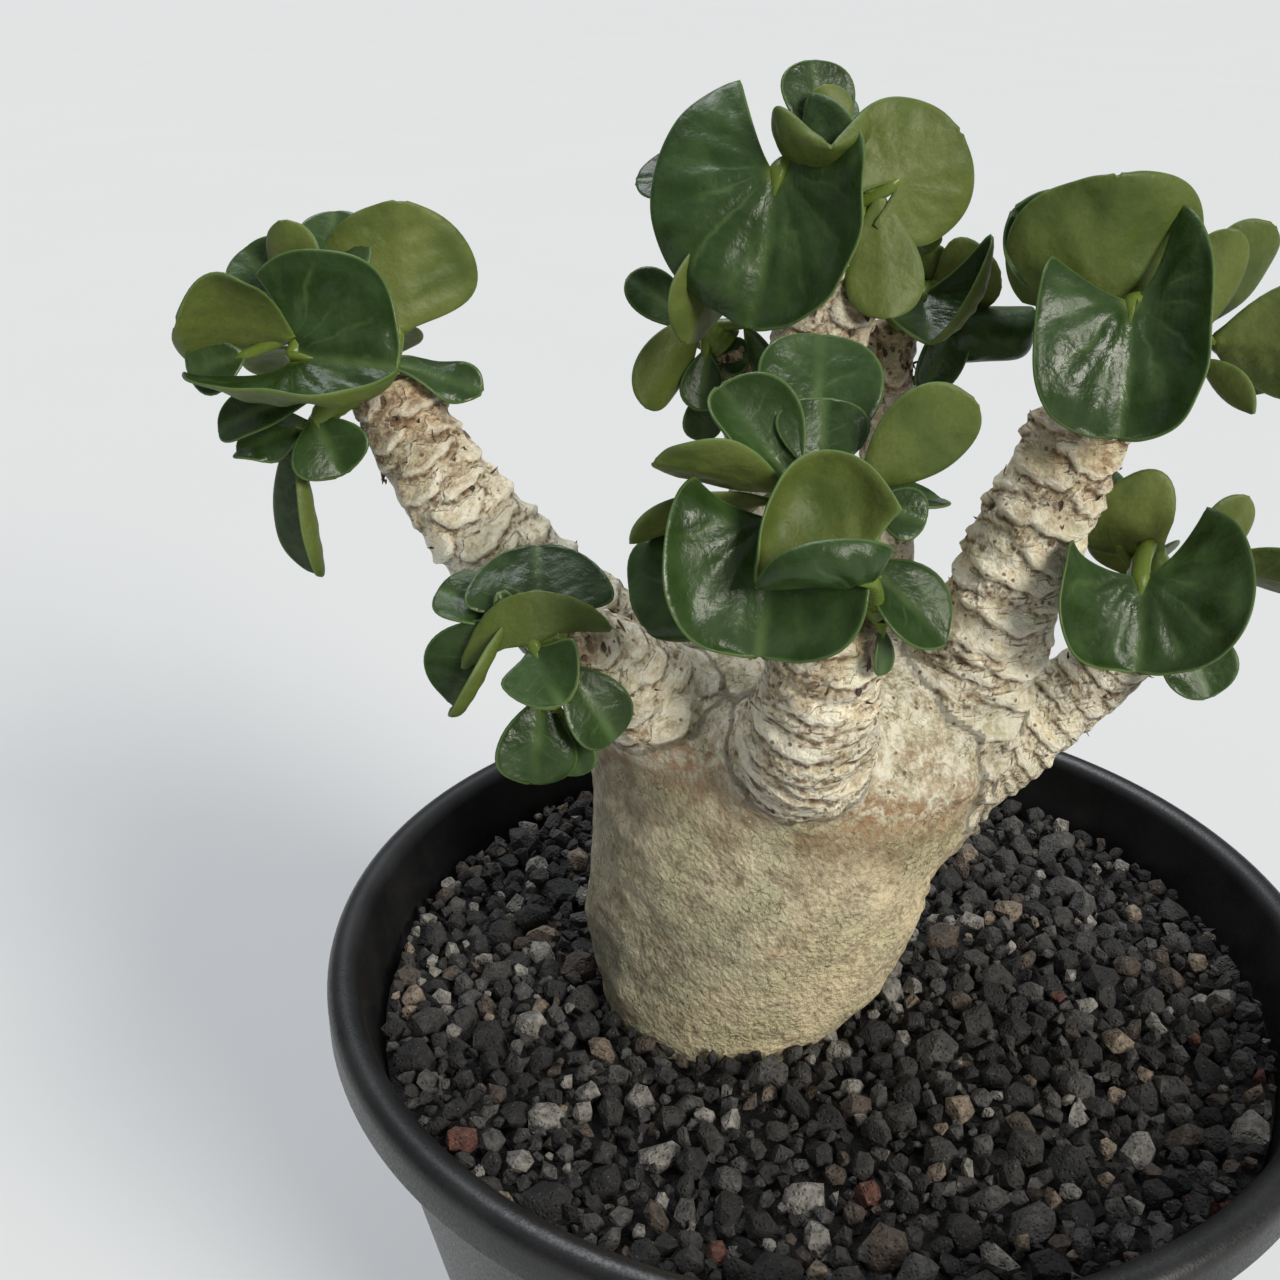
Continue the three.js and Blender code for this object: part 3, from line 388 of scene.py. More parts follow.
class Wiring:
    """A node tree that short calls add to."""

    def __init__(self, tree: bpy.types.NodeTree) -> None:
        """Takes the tree to add to."""
        self.tree = tree

    def feed(self, socket: Socket, value: Any) -> None:
        """Links a socket, or sets its value.

        Args:
            socket: An input.
            value: An output to link from, or the value.
        """
        if isinstance(value, bpy.types.NodeSocket):
            self.tree.links.new(value, socket)
        elif socket.type == "RGBA":
            socket.default_value = (*value, 1.0)
        else:
            socket.default_value = value

    def node(self, kind: str, feeds: dict[str | int, Any], **settings: Any) -> bpy.types.Node:
        """Adds a node.

        Args:
            kind: Its type.
            feeds: Values or outputs for its inputs, by name or place.
            **settings: Its own settings.

        Returns:
            The node.
        """
        made = self.tree.nodes.new(kind)
        for name, value in settings.items():
            setattr(made, name, value)
        for key, value in feeds.items():
            self.feed(made.inputs[key], value)
        return made

    def wire(self, kind: str, feeds: dict[str | int, Any], **settings: Any) -> Socket:
        """Adds a node and gives its first output."""
        return self.node(kind, feeds, **settings).outputs[0]

    def vector(self, operation: str, *values: Any) -> Socket:
        """One step of arithmetic on vectors."""
        return self.wire("ShaderNodeVectorMath", dict(enumerate(values)), operation=operation)


@dataclass(frozen=True)
class Cloud:
    """Cloudy noise in a finish, and how it fades in.

    size is its lumps' size in millimetres, and detail and rough say how finely it breaks up. The noise's
    values from low to high turn smoothly into start to end.
    """

    size: float
    low: float
    high: float
    start: float = 0.0
    end: float = 1.0
    detail: float = 3.0
    rough: float = 0.55


class Finish(Wiring):
    """A material whose places are all in millimetres."""

    def __init__(self, name: str) -> None:
        """Starts a material.

        Args:
            name: The material's name.
        """
        self.material = bpy.data.materials.new(name)
        self.material.use_nodes = True
        super().__init__(self.material.node_tree)
        self.shader = self.tree.nodes["Principled BSDF"]

    def place(self) -> Socket:
        """The object's own coordinates in millimetres."""
        here = self.tree.nodes.new("ShaderNodeTexCoord").outputs["Object"]
        return self.stretch(here, (1 / MM, 1 / MM, 1 / MM))

    def stretch(self, place: Socket, factors: Point) -> Socket:
        """Multiplies a place by a factor along each axis."""
        return self.vector("MULTIPLY", place, factors)

    def painted(self, name: str) -> Socket:
        """The vector painted on the mesh under a name."""
        return self.node("ShaderNodeAttribute", {}, attribute_name=name).outputs["Vector"]

    def number(self, name: str) -> Socket:
        """The number painted on the mesh under a name."""
        return self.node("ShaderNodeAttribute", {}, attribute_name=name).outputs["Fac"]

    def parts(self, vector: Socket) -> tuple[Socket, Socket, Socket]:
        """The three numbers of a vector."""
        outputs = self.node("ShaderNodeSeparateXYZ", {0: vector}).outputs
        return outputs[0], outputs[1], outputs[2]

    def calc(self, operation: str, *values: Any) -> Socket:
        """One step of arithmetic."""
        return self.wire("ShaderNodeMath", dict(enumerate(values)), operation=operation)

    def times(self, *values: Any) -> Socket:
        """The product of two or more numbers."""
        return functools.reduce(lambda first, second: self.calc("MULTIPLY", first, second), values)

    def rise(self, value: Socket, low: float, high: float, start: float = 0.0, end: float = 1.0) -> Socket:
        """Turns the range from low to high into a smooth one from start to end.

        Args:
            value: What to read.
            low: The value that gives start.
            high: The value that gives end.
            start: The result at low.
            end: The result at high.

        Returns:
            The result, which stays within start and end.
        """
        flip = low > high
        feeds = {0: value, 1: min(low, high), 2: max(low, high)}
        feeds |= {3: end if flip else start, 4: start if flip else end}
        return self.wire("ShaderNodeMapRange", feeds, interpolation_type="SMOOTHSTEP")

    def noise(self, place: Socket, size: float, detail: float = 3.0, rough: float = 0.55) -> Socket:
        """Cloudy noise from about 0 to 1 with lumps of a size in millimetres."""
        feeds = {"Vector": place, "Scale": 1 / size, "Detail": detail, "Roughness": rough}
        return self.wire("ShaderNodeTexNoise", feeds)

    def patches(self, place: Socket, cloud: Cloud) -> Socket:
        """Cloudy patches that fade in and out as their cloud says."""
        noise = self.noise(place, cloud.size, cloud.detail, cloud.rough)
        return self.rise(noise, cloud.low, cloud.high, cloud.start, cloud.end)

    def warp(self, place: Socket, size: float, reach: float) -> Socket:
        """Shifts a place to and fro by cloudy noise, by up to about half the reach."""
        cloud = self.node("ShaderNodeTexNoise", {"Vector": place, "Scale": 1 / size, "Detail": 2.0})
        return self.vector("MULTIPLY_ADD", cloud.outputs["Color"], (reach,) * 3, place)

    def cells(self, place: Socket, size: float, feature: str = "F1") -> bpy.types.Node:
        """A cell pattern with cells of a size in millimetres."""
        return self.node("ShaderNodeTexVoronoi", {"Vector": place, "Scale": 1 / size}, feature=feature)

    def mix(self, share: Any, first: Any, second: Any, blend: str = "MIX") -> Socket:
        """Mixes a share of a second colour into a first one."""
        feeds = {0: share, 6: first, 7: second}
        return self.node("ShaderNodeMix", feeds, data_type="RGBA", blend_type=blend).outputs[2]

    def steps(self, value: Socket, stops: Sequence[tuple[float, Colour]], hard: bool = False) -> Socket:
        """Turns a number into a colour by a list of stops.

        Args:
            value: The number, from 0 to 1.
            stops: Places and colours.
            hard: Whether the colours change at once.

        Returns:
            The colour.
        """
        ramp = self.node("ShaderNodeValToRGB", {0: value})
        ramp.color_ramp.interpolation = "CONSTANT" if hard else "LINEAR"
        elements = ramp.color_ramp.elements
        while len(elements) < len(stops):
            elements.new(1.0)
        for element, (position, colour) in zip(elements, stops):
            element.position = position
            element.color = (*colour, 1.0)
        return ramp.outputs[0]

    def shade(self, colour: Socket, value: Socket, dark: Pair, light: Pair) -> Socket:
        """Scales a colour by a number: dark and light give the number and the scale at each end."""
        stops = [(at, (share,) * 3) for at, share in (dark, light)]
        return self.mix(1.0, colour, self.steps(value, stops), "MULTIPLY")

    def bump(self, height: Socket, depth: float, under: Socket | None = None) -> Socket:
        """Relief in the shading.

        Args:
            height: The relief's height, from 0 to 1.
            depth: How deep it is, in millimetres.
            under: A relief that this one lies on.

        Returns:
            The bent normal.
        """
        made = self.node("ShaderNodeBump", {"Height": height, "Strength": 1.0, "Distance": depth * MM})
        if under:
            self.feed(made.inputs["Normal"], under)
        return made.outputs[0]

    def finish(self, **values: Any) -> Material:
        """Feeds the shader and returns the material.

        Args:
            **values: Inputs of the shader, with underscores for spaces.

        Returns:
            The finished material.
        """
        for name, value in values.items():
            self.feed(self.shader.inputs[name.replace("_", " ")], value)
        return self.material


class GrowthTree(Wiring):
    """A Geometry Nodes tree with named inputs."""

    def __init__(self, name: str, inputs: dict[str, str]) -> None:
        """Starts a tree.

        Args:
            name: The tree's name.
            inputs: The type of each input, by its name.
        """
        super().__init__(bpy.data.node_groups.new(name, "GeometryNodeTree"))
        for label, kind in {"Geometry": "Geometry", **inputs, "Material": "Material"}.items():
            self.tree.interface.new_socket(name=label, in_out="INPUT", socket_type="NodeSocket" + kind)
        self.tree.interface.new_socket(name="Geometry", in_out="OUTPUT", socket_type="NodeSocketGeometry")
        self.given = self.tree.nodes.new("NodeGroupInput").outputs

    def step(self, kind: str, feeds: dict[str | int, Any], **settings: Any) -> Socket:
        """Adds a step that makes or changes geometry."""
        return self.wire("GeometryNode" + kind, feeds, **settings)

    def attribute(self, name: str, kind: str) -> Socket:
        """An attribute that the points carry."""
        return self.step("InputNamedAttribute", {"Name": name}, data_type=kind)

    def close(self, geometry: Socket) -> None:
        """Ends the tree with real geometry that has its material.

        Args:
            geometry: What the tree has made.
        """
        real = self.step("RealizeInstances", {0: geometry})
        feeds = {"Geometry": real, "Material": self.given["Material"]}
        dressed = self.step("SetMaterial", feeds)
        self.node("NodeGroupOutput", {0: dressed})

    def run(self, source: Piece, name: str, **values: Any) -> Piece:
        """Runs the tree and keeps the result as a plain mesh.

        Args:
            source: The object that the tree starts from, which is removed.
            name: The new piece's name.
            **values: The tree's inputs, with underscores for spaces.

        Returns:
            The new piece.
        """
        modifier = source.modifiers.new(self.tree.name, "NODES")
        modifier.node_group = self.tree
        sockets = {item.name: item for item in self.tree.interface.items_tree if item.in_out == "INPUT"}
        for label, value in values.items():
            modifier[sockets[label.replace("_", " ")].identifier] = value
        return keep_result(source, name)


class ScatterTree(GrowthTree):
    """Sets small shapes on points that carry their size, turn, kind and tone."""

    def __init__(self) -> None:
        """Builds the tree."""
        super().__init__(
            "scattered_pieces",
            {"Shapes": "Collection", "Turn Spread": "Float", "Seed": "Int"},
        )
        feeds = {"Collection": self.given["Shapes"], "Separate Children": True, "Reset Children": True}
        shapes = self.step("CollectionInfo", feeds)
        feeds = {0: (-1.0, -1.0, -1.0), 1: (1.0, 1.0, 1.0), "Seed": self.given["Seed"]}
        chance = self.wire("FunctionNodeRandomValue", feeds, data_type="FLOAT_VECTOR")
        own_turn = self.attribute("turn", "FLOAT_VECTOR")
        turn = self.vector("MULTIPLY_ADD", chance, self.given["Turn Spread"], own_turn)
        feeds = {
            "Points": self.given["Geometry"],
            "Instance": shapes,
            "Pick Instance": True,
            "Instance Index": self.attribute("kind", "INT"),
            "Rotation": turn,
            "Scale": self.attribute("size", "FLOAT_VECTOR"),
        }
        self.close(self.step("InstanceOnPoints", feeds))


class PotTree(GrowthTree):
    """Turns a profile round the pot's axis and bores the drain holes."""

    seam: float = 0.02
    hole_sides: int = 24

    def __init__(self) -> None:
        """Builds the tree."""
        counts = {"Turn Sides": "Int", "Hole Count": "Int"}
        sizes = dict.fromkeys(("Turn Radius", "Hole Radius", "Hole Circle", "Hole Depth"), "Float")
        super().__init__("turned_pot", {**counts, **sizes})
        feeds = {"Resolution": self.given["Turn Sides"], "Radius": self.given["Turn Radius"]}
        ring = self.step("CurvePrimitiveCircle", feeds)
        level = self.step("SetCurveNormal", {0: ring}, mode="Z_UP")
        profile = self.step("MeshToCurve", {0: self.given["Geometry"]})
        swept = self.step("CurveToMesh", {0: level, 1: profile})
        closed = self.step("MergeByDistance", {0: swept, "Distance": self.seam * MM})
        feeds = {"Resolution": self.given["Hole Count"], "Radius": self.given["Hole Circle"]}
        circle = self.step("CurvePrimitiveCircle", feeds)
        feeds = {"Vertices": self.hole_sides, "Radius": self.given["Hole Radius"]}
        feeds["Depth"] = self.given["Hole Depth"]
        plug = self.step("MeshCylinder", feeds)
        plugs = self.step("InstanceOnPoints", {0: circle, "Instance": plug})
        solid = self.step("RealizeInstances", {0: plugs})
        bored = self.step("MeshBoolean", {0: closed, 1: solid}, operation="DIFFERENCE")
        smooth = self.step("SetShadeSmooth", {0: bored, "Shade Smooth": True})
        self.close(smooth)


@dataclass(frozen=True)
class PotPlastic:
    """Satin black moulded plastic with a fine leathery grain."""

    colour: Colour = (0.005, 0.005, 0.0055)
    worn: Colour = (0.012, 0.012, 0.0125)
    wear: Cloud = Cloud(14.0, 0.35, 0.7, detail=4.0)
    gloss: Pair = (0.3, 0.48)
    specular: float = 0.45
    grain: float = 0.55
    grain_depth: float = 0.06
    streak: float = 1.3
    streak_stretch: Point = (1.0, 1.0, 0.35)

    def make(self) -> Material:
        """Builds the material.

        Returns:
            The material.
        """
        finish = Finish("pot_plastic")
        place = finish.place()
        grain = finish.noise(place, self.grain, 3.0, 0.6)
        streaks = finish.noise(finish.stretch(place, self.streak_stretch), self.streak, 2.0)
        height = finish.calc("MULTIPLY_ADD", streaks, 0.5, grain)
        return finish.finish(
            Base_Color=finish.mix(finish.patches(place, self.wear), self.colour, self.worn),
            Roughness=finish.rise(grain, 0.3, 0.7, *self.gloss),
            Specular_IOR_Level=self.specular,
            Normal=finish.bump(height, self.grain_depth),
        )


@dataclass(frozen=True)
class DampMix:
    """Dark crumbly potting mix."""

    dark: Colour = (0.02, 0.014, 0.009)
    light: Colour = (0.09, 0.06, 0.038)
    crumb: float = 1.8
    clod: float = 3.5
    depth: float = 0.8

    def make(self) -> Material:
        """Builds the material.

        Returns:
            The material.
        """
        finish = Finish("damp_mix")
        place = finish.place()
        crumbs = finish.cells(place, self.crumb).outputs["Distance"]
        clods = finish.noise(place, self.clod, 5.0, 0.65)
        return finish.finish(
            Base_Color=finish.mix(finish.rise(clods, 0.35, 0.7), self.dark, self.light),
            Roughness=0.95,
            Normal=finish.bump(finish.calc("ADD", crumbs, clods), self.depth),
        )


class StoneKind(Enum):
    """The colours that the lava stones come in: where each starts on the tone scale, and its colour."""

    BLACK = (0.0, (0.013, 0.0125, 0.0125))
    CHARCOAL = (0.34, (0.026, 0.0245, 0.023))
    SLATE = (0.58, (0.05, 0.048, 0.046))
    UMBER = (0.76, (0.05, 0.038, 0.03))
    ASH = (0.84, (0.15, 0.142, 0.128))
    TAN = (0.95, (0.14, 0.11, 0.082))
    RUST = (0.99, (0.075, 0.03, 0.021))


@dataclass(frozen=True)
class LavaStone:
    """Porous lava in several dark colours."""

    pore: float = 0.85
    pore_depth: float = 0.35
    grit: float = 0.3
    mottle: float = 1.6
    dark: Pair = (0.3, 0.35)
    light: Pair = (0.7, 1.9)
    sparkle: Cloud = Cloud(0.5, 0.68, 0.76, 0.0, 0.4, 1.0)
    sparkle_colour: Colour = (0.25, 0.24, 0.23)

    def make(self) -> Material:
        """Builds the material.

        Returns:
            The material.
        """
        finish = Finish("lava_stone")
        place = finish.place()
        colour = finish.steps(finish.number("tone"), [kind.value for kind in StoneKind], hard=True)
        mottle = finish.noise(place, self.mottle, 5.0, 0.65)
        colour = finish.shade(colour, mottle, self.dark, self.light)
        colour = finish.mix(finish.patches(place, self.sparkle), colour, self.sparkle_colour)
        pores = finish.rise(finish.cells(place, self.pore).outputs["Distance"], 0.05, 0.5)
        pitted = finish.calc("MULTIPLY_ADD", finish.noise(place, self.grit, 2.0), 0.35, pores)
        relief = finish.bump(pitted, self.pore_depth)
        return finish.finish(Base_Color=colour, Roughness=0.88, Normal=relief)


class Bark(Finish):
    """The grown skin of trunk and branches: tan and wrinkled below, pale and scarred above.

    The colours come first, as a dark and a light one where they vary, and then the clouds of noise that
    lay them on.
    """

    body_shades: Shades = ((0.21, 0.175, 0.1), (0.75, 0.66, 0.46))
    upper_shades: Shades = ((0.34, 0.29, 0.18), (0.72, 0.67, 0.51))
    limb_shades: Shades = ((0.64, 0.54, 0.34), (0.94, 0.88, 0.68))
    tip_shades: Shades = ((0.2, 0.12, 0.06), (0.66, 0.52, 0.33))
    # This golden colour is partly the bark's own hue and partly painted light on the body's lower right.
    golden_and_lit: Colour = (0.83, 0.7, 0.45)
    umber: Colour = (0.18, 0.12, 0.055)
    # These two browns colour flecks, cracks and stains, and are also laid as painted shade below the scars.
    crease_and_shade: Colour = (0.13, 0.07, 0.03)
    furrow_and_shade: Colour = (0.3, 0.185, 0.09)
    rust: Colour = (0.32, 0.18, 0.08)
    lichen: Colour = (0.47, 0.48, 0.27)
    ash: Colour = (0.46, 0.46, 0.38)
    # This pale colour is chalky bark, and also the painted highlight of glints and scar lips.
    chalk_and_highlight: Colour = (0.88, 0.85, 0.71)
    mottling: Cloud = Cloud(5.5, 0.38, 0.62, detail=5.0, rough=0.65)
    greying: Cloud = Cloud(22.0, 0.45, 0.7, 0.0, 0.6, rough=0.5)
    dulling: Cloud = Cloud(8.0, 0.3, 0.6, 0.2, 0.8, 4.0)
    glinting: Cloud = Cloud(0.8, 0.6, 0.7, 0.0, 0.45, 2.0)
    staining: Cloud = Cloud(3.6, 0.52, 0.66, 0.0, 0.6, 6.0, 0.7)
    chalking: Cloud = Cloud(5.0, 0.44, 0.6, 0.0, 0.75, 6.0, 0.7)
    rusting: Cloud = Cloud(2.4, 0.42, 0.6, detail=5.0, rough=0.7)
    fraying: Cloud = Cloud(1.7, 0.38, 0.6, 0.15, 0.9, rough=0.6)
    tone_dark: Pair = (0.0, 0.78)
    tone_light: Pair = (1.0, 1.12)
    fleck: float = 1.5
    fleck_chance: float = 0.13
    crack: float = 3.1
    scar_drop: float = 0.6
    grain_depth: float = 0.42
    pore_depth: float = 0.14

    def __init__(self) -> None:
        """Reads the painted zones and makes the noises that are used more than once."""
        super().__init__("bark")
        self.here, self.grain = self.place(), self.painted("grain")
        self.limb, self.tip, self.upper = self.parts(self.painted("zone"))
        depth, self.tone, self.weight = self.parts(self.painted("scar"))
        self.blushing, self.gilding, self.browning = self.parts(self.painted("tint"))
        self.fine = self.noise(self.grain, 1.1, 5.0, 0.68)
        self.fine_share = self.rise(self.fine, 0.36, 0.64)
        self.mottle = self.patches(self.here, self.mottling)
        self.haze = self.noise(self.here, 11.0, 4.0, 0.6)
        wobble = self.calc("MULTIPLY_ADD", self.noise(self.here, 1.1), 0.7, -0.35)
        self.edge = self.calc("ADD", depth, wobble)
        share = self.calc("MULTIPLY_ADD", self.fine_share, 0.5, self.times(self.mottle, 0.5))
        # Painted light: the body is brightened and gilded towards its lower right.
        self.shine = self.times(self.gilding, self.rise(share, 0.1, 0.8, 0.3, 0.85))
        self.colour = self.mix(share, *self.body_shades)

    def lay(self, share: Socket, colour: Any) -> None:
        """Lays a colour over those so far."""
        self.colour = self.mix(share, self.colour, colour)

    def lay_ground(self) -> None:
        """Lays the colours of body, crown, branches and tips, and painted light on the body's lower right.
        """
        self.lay(self.patches(self.here, self.greying), self.ash)
        # Painted light: the golden colour on the lit lower right of the body.
        self.lay(self.shine, self.golden_and_lit)
        self.lay(self.times(self.browning, self.patches(self.here, self.dulling)), self.umber)
        young = self.times(self.limb, self.number("youth"))
        zones = ((self.upper, self.upper_shades), (young, self.limb_shades), (self.tip, self.tip_shades))
        for share, shades in zones:
            self.lay(share, self.mix(self.fine_share, *shades))

    def lay_weather_and_glints(self) -> None:
        """Lays painted highlight glints, lichen, stains, chalky patches and rust."""
        bare = self.times(self.calc("SUBTRACT", 1.0, self.tip), self.upper)
        rusty = self.calc("MULTIPLY_ADD", self.upper, 0.12, self.blushing)
        # Painted highlight: pale glint specks on the body.
        self.lay(self.times(self.patches(self.here, self.glinting), self.mottle), self.chalk_and_highlight)
        self.lay(self.rise(self.haze, 0.46, 0.66, 0.0, 0.5), self.lichen)
        self.lay(self.times(self.patches(self.here, self.staining), self.upper), self.furrow_and_shade)
        self.lay(self.times(self.patches(self.here, self.chalking), bare), self.chalk_and_highlight)
        self.lay(self.times(rusty, self.patches(self.here, self.rusting), 0.85), self.rust)

    def lay_scars(self) -> None:
        """Gives each leaf scar its tone, a dark line of painted shade below it and a pale lip of painted
        highlight.
        """
        self.lay(self.limb, self.shade(self.colour, self.tone, self.tone_dark, self.tone_light))
        # Painted shade: a dark brown line just below each scar's lower edge, under its lip.
        line = self.times(self.rise(self.edge, -1.0, -0.3), self.rise(self.edge, 0.35, -0.1))
        frayed = self.patches(self.here, self.fraying)
        self.lay(self.times(line, frayed, self.weight), self.mix(frayed, self.furrow_and_shade, self.crease_and_shade))
        # Painted highlight: a pale band along each scar's raised lip.
        lip = self.times(self.rise(self.edge, 0.2, 0.7), self.rise(self.edge, 1.9, 1.0))
        self.lay(self.times(lip, self.weight, 0.4), self.chalk_and_highlight)

    def lay_specks(self) -> None:
        """Lays dark flecks above and thin cracks below."""
        cell = self.cells(self.here, self.fleck)
        lucky = self.calc("GREATER_THAN", self.parts(cell.outputs["Color"])[0], 1 - self.fleck_chance)
        fleck = self.rise(cell.outputs["Distance"], 0.36, 0.2, 0.0, 0.85)
        self.lay(self.times(fleck, lucky, self.rise(self.upper, 0.2, 0.8)), self.crease_and_shade)
        web = self.cells(self.warp(self.here, 1.6, 3.0), self.crack, "DISTANCE_TO_EDGE").outputs["Distance"]
        thin = self.times(self.rise(web, 0.05, 0.0), self.rise(self.haze, 0.45, 0.62, 0.0, 0.8))
        self.lay(self.times(thin, self.calc("SUBTRACT", 1.0, self.limb)), self.crease_and_shade)

    def relief(self) -> Socket:
        """The drop below each scar, the grain and the pores.

        Returns:
            The bent normal.
        """
        drop = self.times(self.weight, self.rise(self.edge, -0.35, 0.5, 1.0, 0.0))
        relief = self.bump(self.calc("SUBTRACT", 1.0, drop), self.scar_drop)
        pebble = self.cells(self.warp(self.grain, 1.2, 1.0), 1.0).outputs["Distance"]
        grains = self.calc("MULTIPLY_ADD", self.fine, 2.2, self.times(pebble, -0.8))
        relief = self.bump(grains, self.grain_depth, relief)
        return self.bump(self.noise(self.here, 0.4, 3.0, 0.6), self.pore_depth, relief)

    def make(self) -> Material:
        """Builds the material.

        Returns:
            The material.
        """
        self.lay_ground()
        self.lay_weather_and_glints()
        self.lay_scars()
        self.lay_specks()
        gloss = self.rise(self.fine, 0.35, 0.65, 0.34, 0.66)
        return self.finish(Base_Color=self.colour, Roughness=gloss, Normal=self.relief())


@dataclass(frozen=True)
class DryScale:
    """Dead brown leaf stubs and bark scales."""

    dark: Colour = (0.045, 0.028, 0.018)
    light: Colour = (0.24, 0.165, 0.095)
    mottle: float = 0.5
    depth: float = 0.1

    def make(self) -> Material:
        """Builds the material.

        Returns:
            The material.
        """
        finish = Finish("dry_scale")
        mottle = finish.noise(finish.place(), self.mottle)
        tone = finish.calc("MULTIPLY_ADD", finish.number("tone"), 0.9, -0.35)
        colour = finish.mix(finish.calc("MULTIPLY_ADD", mottle, 0.5, tone), self.dark, self.light)
        return finish.finish(Base_Color=colour, Roughness=0.85, Normal=finish.bump(mottle, self.depth))


@dataclass(frozen=True)
class LeafSkin:
    """Glossy dark green above, matt olive below, with a pale margin, pale veins and a yellowish foot."""

    deep: Colour = (0.014, 0.032, 0.006)
    fresh: Colour = (0.034, 0.068, 0.018)
    vein: Colour = (0.085, 0.14, 0.045)
    olive: Colour = (0.062, 0.09, 0.014)
    pale_olive: Colour = (0.15, 0.178, 0.045)
    shade: Colour = (0.045, 0.075, 0.012)
    margin: Colour = (0.1, 0.165, 0.05)
    foot: Colour = (0.12, 0.17, 0.025)
    vein_fading: Cloud = Cloud(11.0, 0.35, 0.65, 0.15, 0.75, 2.0)
    shading: Cloud = Cloud(13.0, 0.42, 0.68, 0.0, 0.75)
    upper_gloss: Pair = (0.24, 0.42)
    lower_gloss: float = 0.5
    specular: float = 0.26
    vein_drop: float = -0.12
    blister_depth: float = 0.3
    pore_depth: float = 0.03

    def veins(self, finish: Finish, place: Socket) -> Socket:
        """How strong midrib and side veins are.

        Args:
            finish: The material.
            place: The place on the leaf.

        Returns:
            The strength, from 0 to 0.8.
        """
        phase, lateral, edge = finish.parts(finish.painted("vein"))
        phase = finish.calc("MULTIPLY_ADD", finish.noise(place, 7.0, 2.0), 1.1, phase)
        ridge = finish.calc("ABSOLUTE", finish.calc("SUBTRACT", finish.calc("FRACT", phase), 0.5))
        ribs = finish.times(finish.rise(ridge, 0.34, 0.5), finish.rise(edge, 1.0, 5.0), 0.5)
        return finish.calc("MAXIMUM", ribs, finish.times(finish.rise(lateral, 1.8, 0.1), 0.8))

    def make(self) -> Material:
        """Builds the material.

        Returns:
            The material.
        """
        finish = Finish("leaf_skin")
        place = finish.place()
        face, along, chance = finish.parts(finish.painted("leaf"))
        edge = finish.parts(finish.painted("vein"))[2]
        veins = self.veins(finish, place)
        cloud = finish.noise(place, 8.0, 4.0, 0.6)
        speckle = finish.noise(place, 0.7, 4.0, 0.7)
        share = finish.calc("MULTIPLY_ADD", chance, 0.45, finish.rise(cloud, 0.3, 0.75, -0.1, 0.7))
        upper = finish.mix(share, self.deep, self.fresh)
        upper = finish.mix(finish.times(veins, finish.patches(place, self.vein_fading)), upper, self.vein)
        share = finish.calc("MULTIPLY_ADD", speckle, 0.7, finish.calc("MULTIPLY_ADD", chance, 0.5, -0.2))
        lower = finish.mix(share, self.olive, self.pale_olive)
        lower = finish.mix(finish.patches(place, self.shading), lower, self.shade)
        is_upper = finish.rise(face, -0.3, 0.3)
        colour = finish.mix(is_upper, lower, upper)
        colour = finish.mix(finish.rise(edge, 0.4, 0.0, 0.0, 0.55), colour, self.margin)
        colour = finish.mix(finish.rise(along, 0.12, 0.0, 0.0, 0.85), colour, self.foot)
        feeds = {0: is_upper, 2: self.lower_gloss, 3: finish.rise(cloud, 0.3, 0.7, *self.upper_gloss)}
        rough = finish.wire("ShaderNodeMix", feeds, data_type="FLOAT")
        blister = finish.calc("MULTIPLY_ADD", veins, self.vein_drop, finish.noise(place, 2.4, 3.0, 0.5))
        relief = finish.bump(speckle, self.pore_depth, finish.bump(blister, self.blister_depth))
        values = {"Base_Color": colour, "Roughness": rough, "Normal": relief}
        return finish.finish(**values, Specular_IOR_Level=self.specular)


@dataclass(frozen=True)
class PaleFloor:
    """The studio's plain floor."""

    colour: Colour = (0.575, 0.58, 0.585)
    cloud: float = 300.0
    darker: float = 0.97

    def make(self) -> Material:
        """Builds the material.

        Returns:
            The material.
        """
        finish = Finish("pale_floor")
        cloud = finish.noise(finish.place(), self.cloud, 2.0)
        darker = tuple(part * self.darker for part in self.colour)
        return finish.finish(Base_Color=finish.mix(cloud, self.colour, darker), Roughness=0.9)


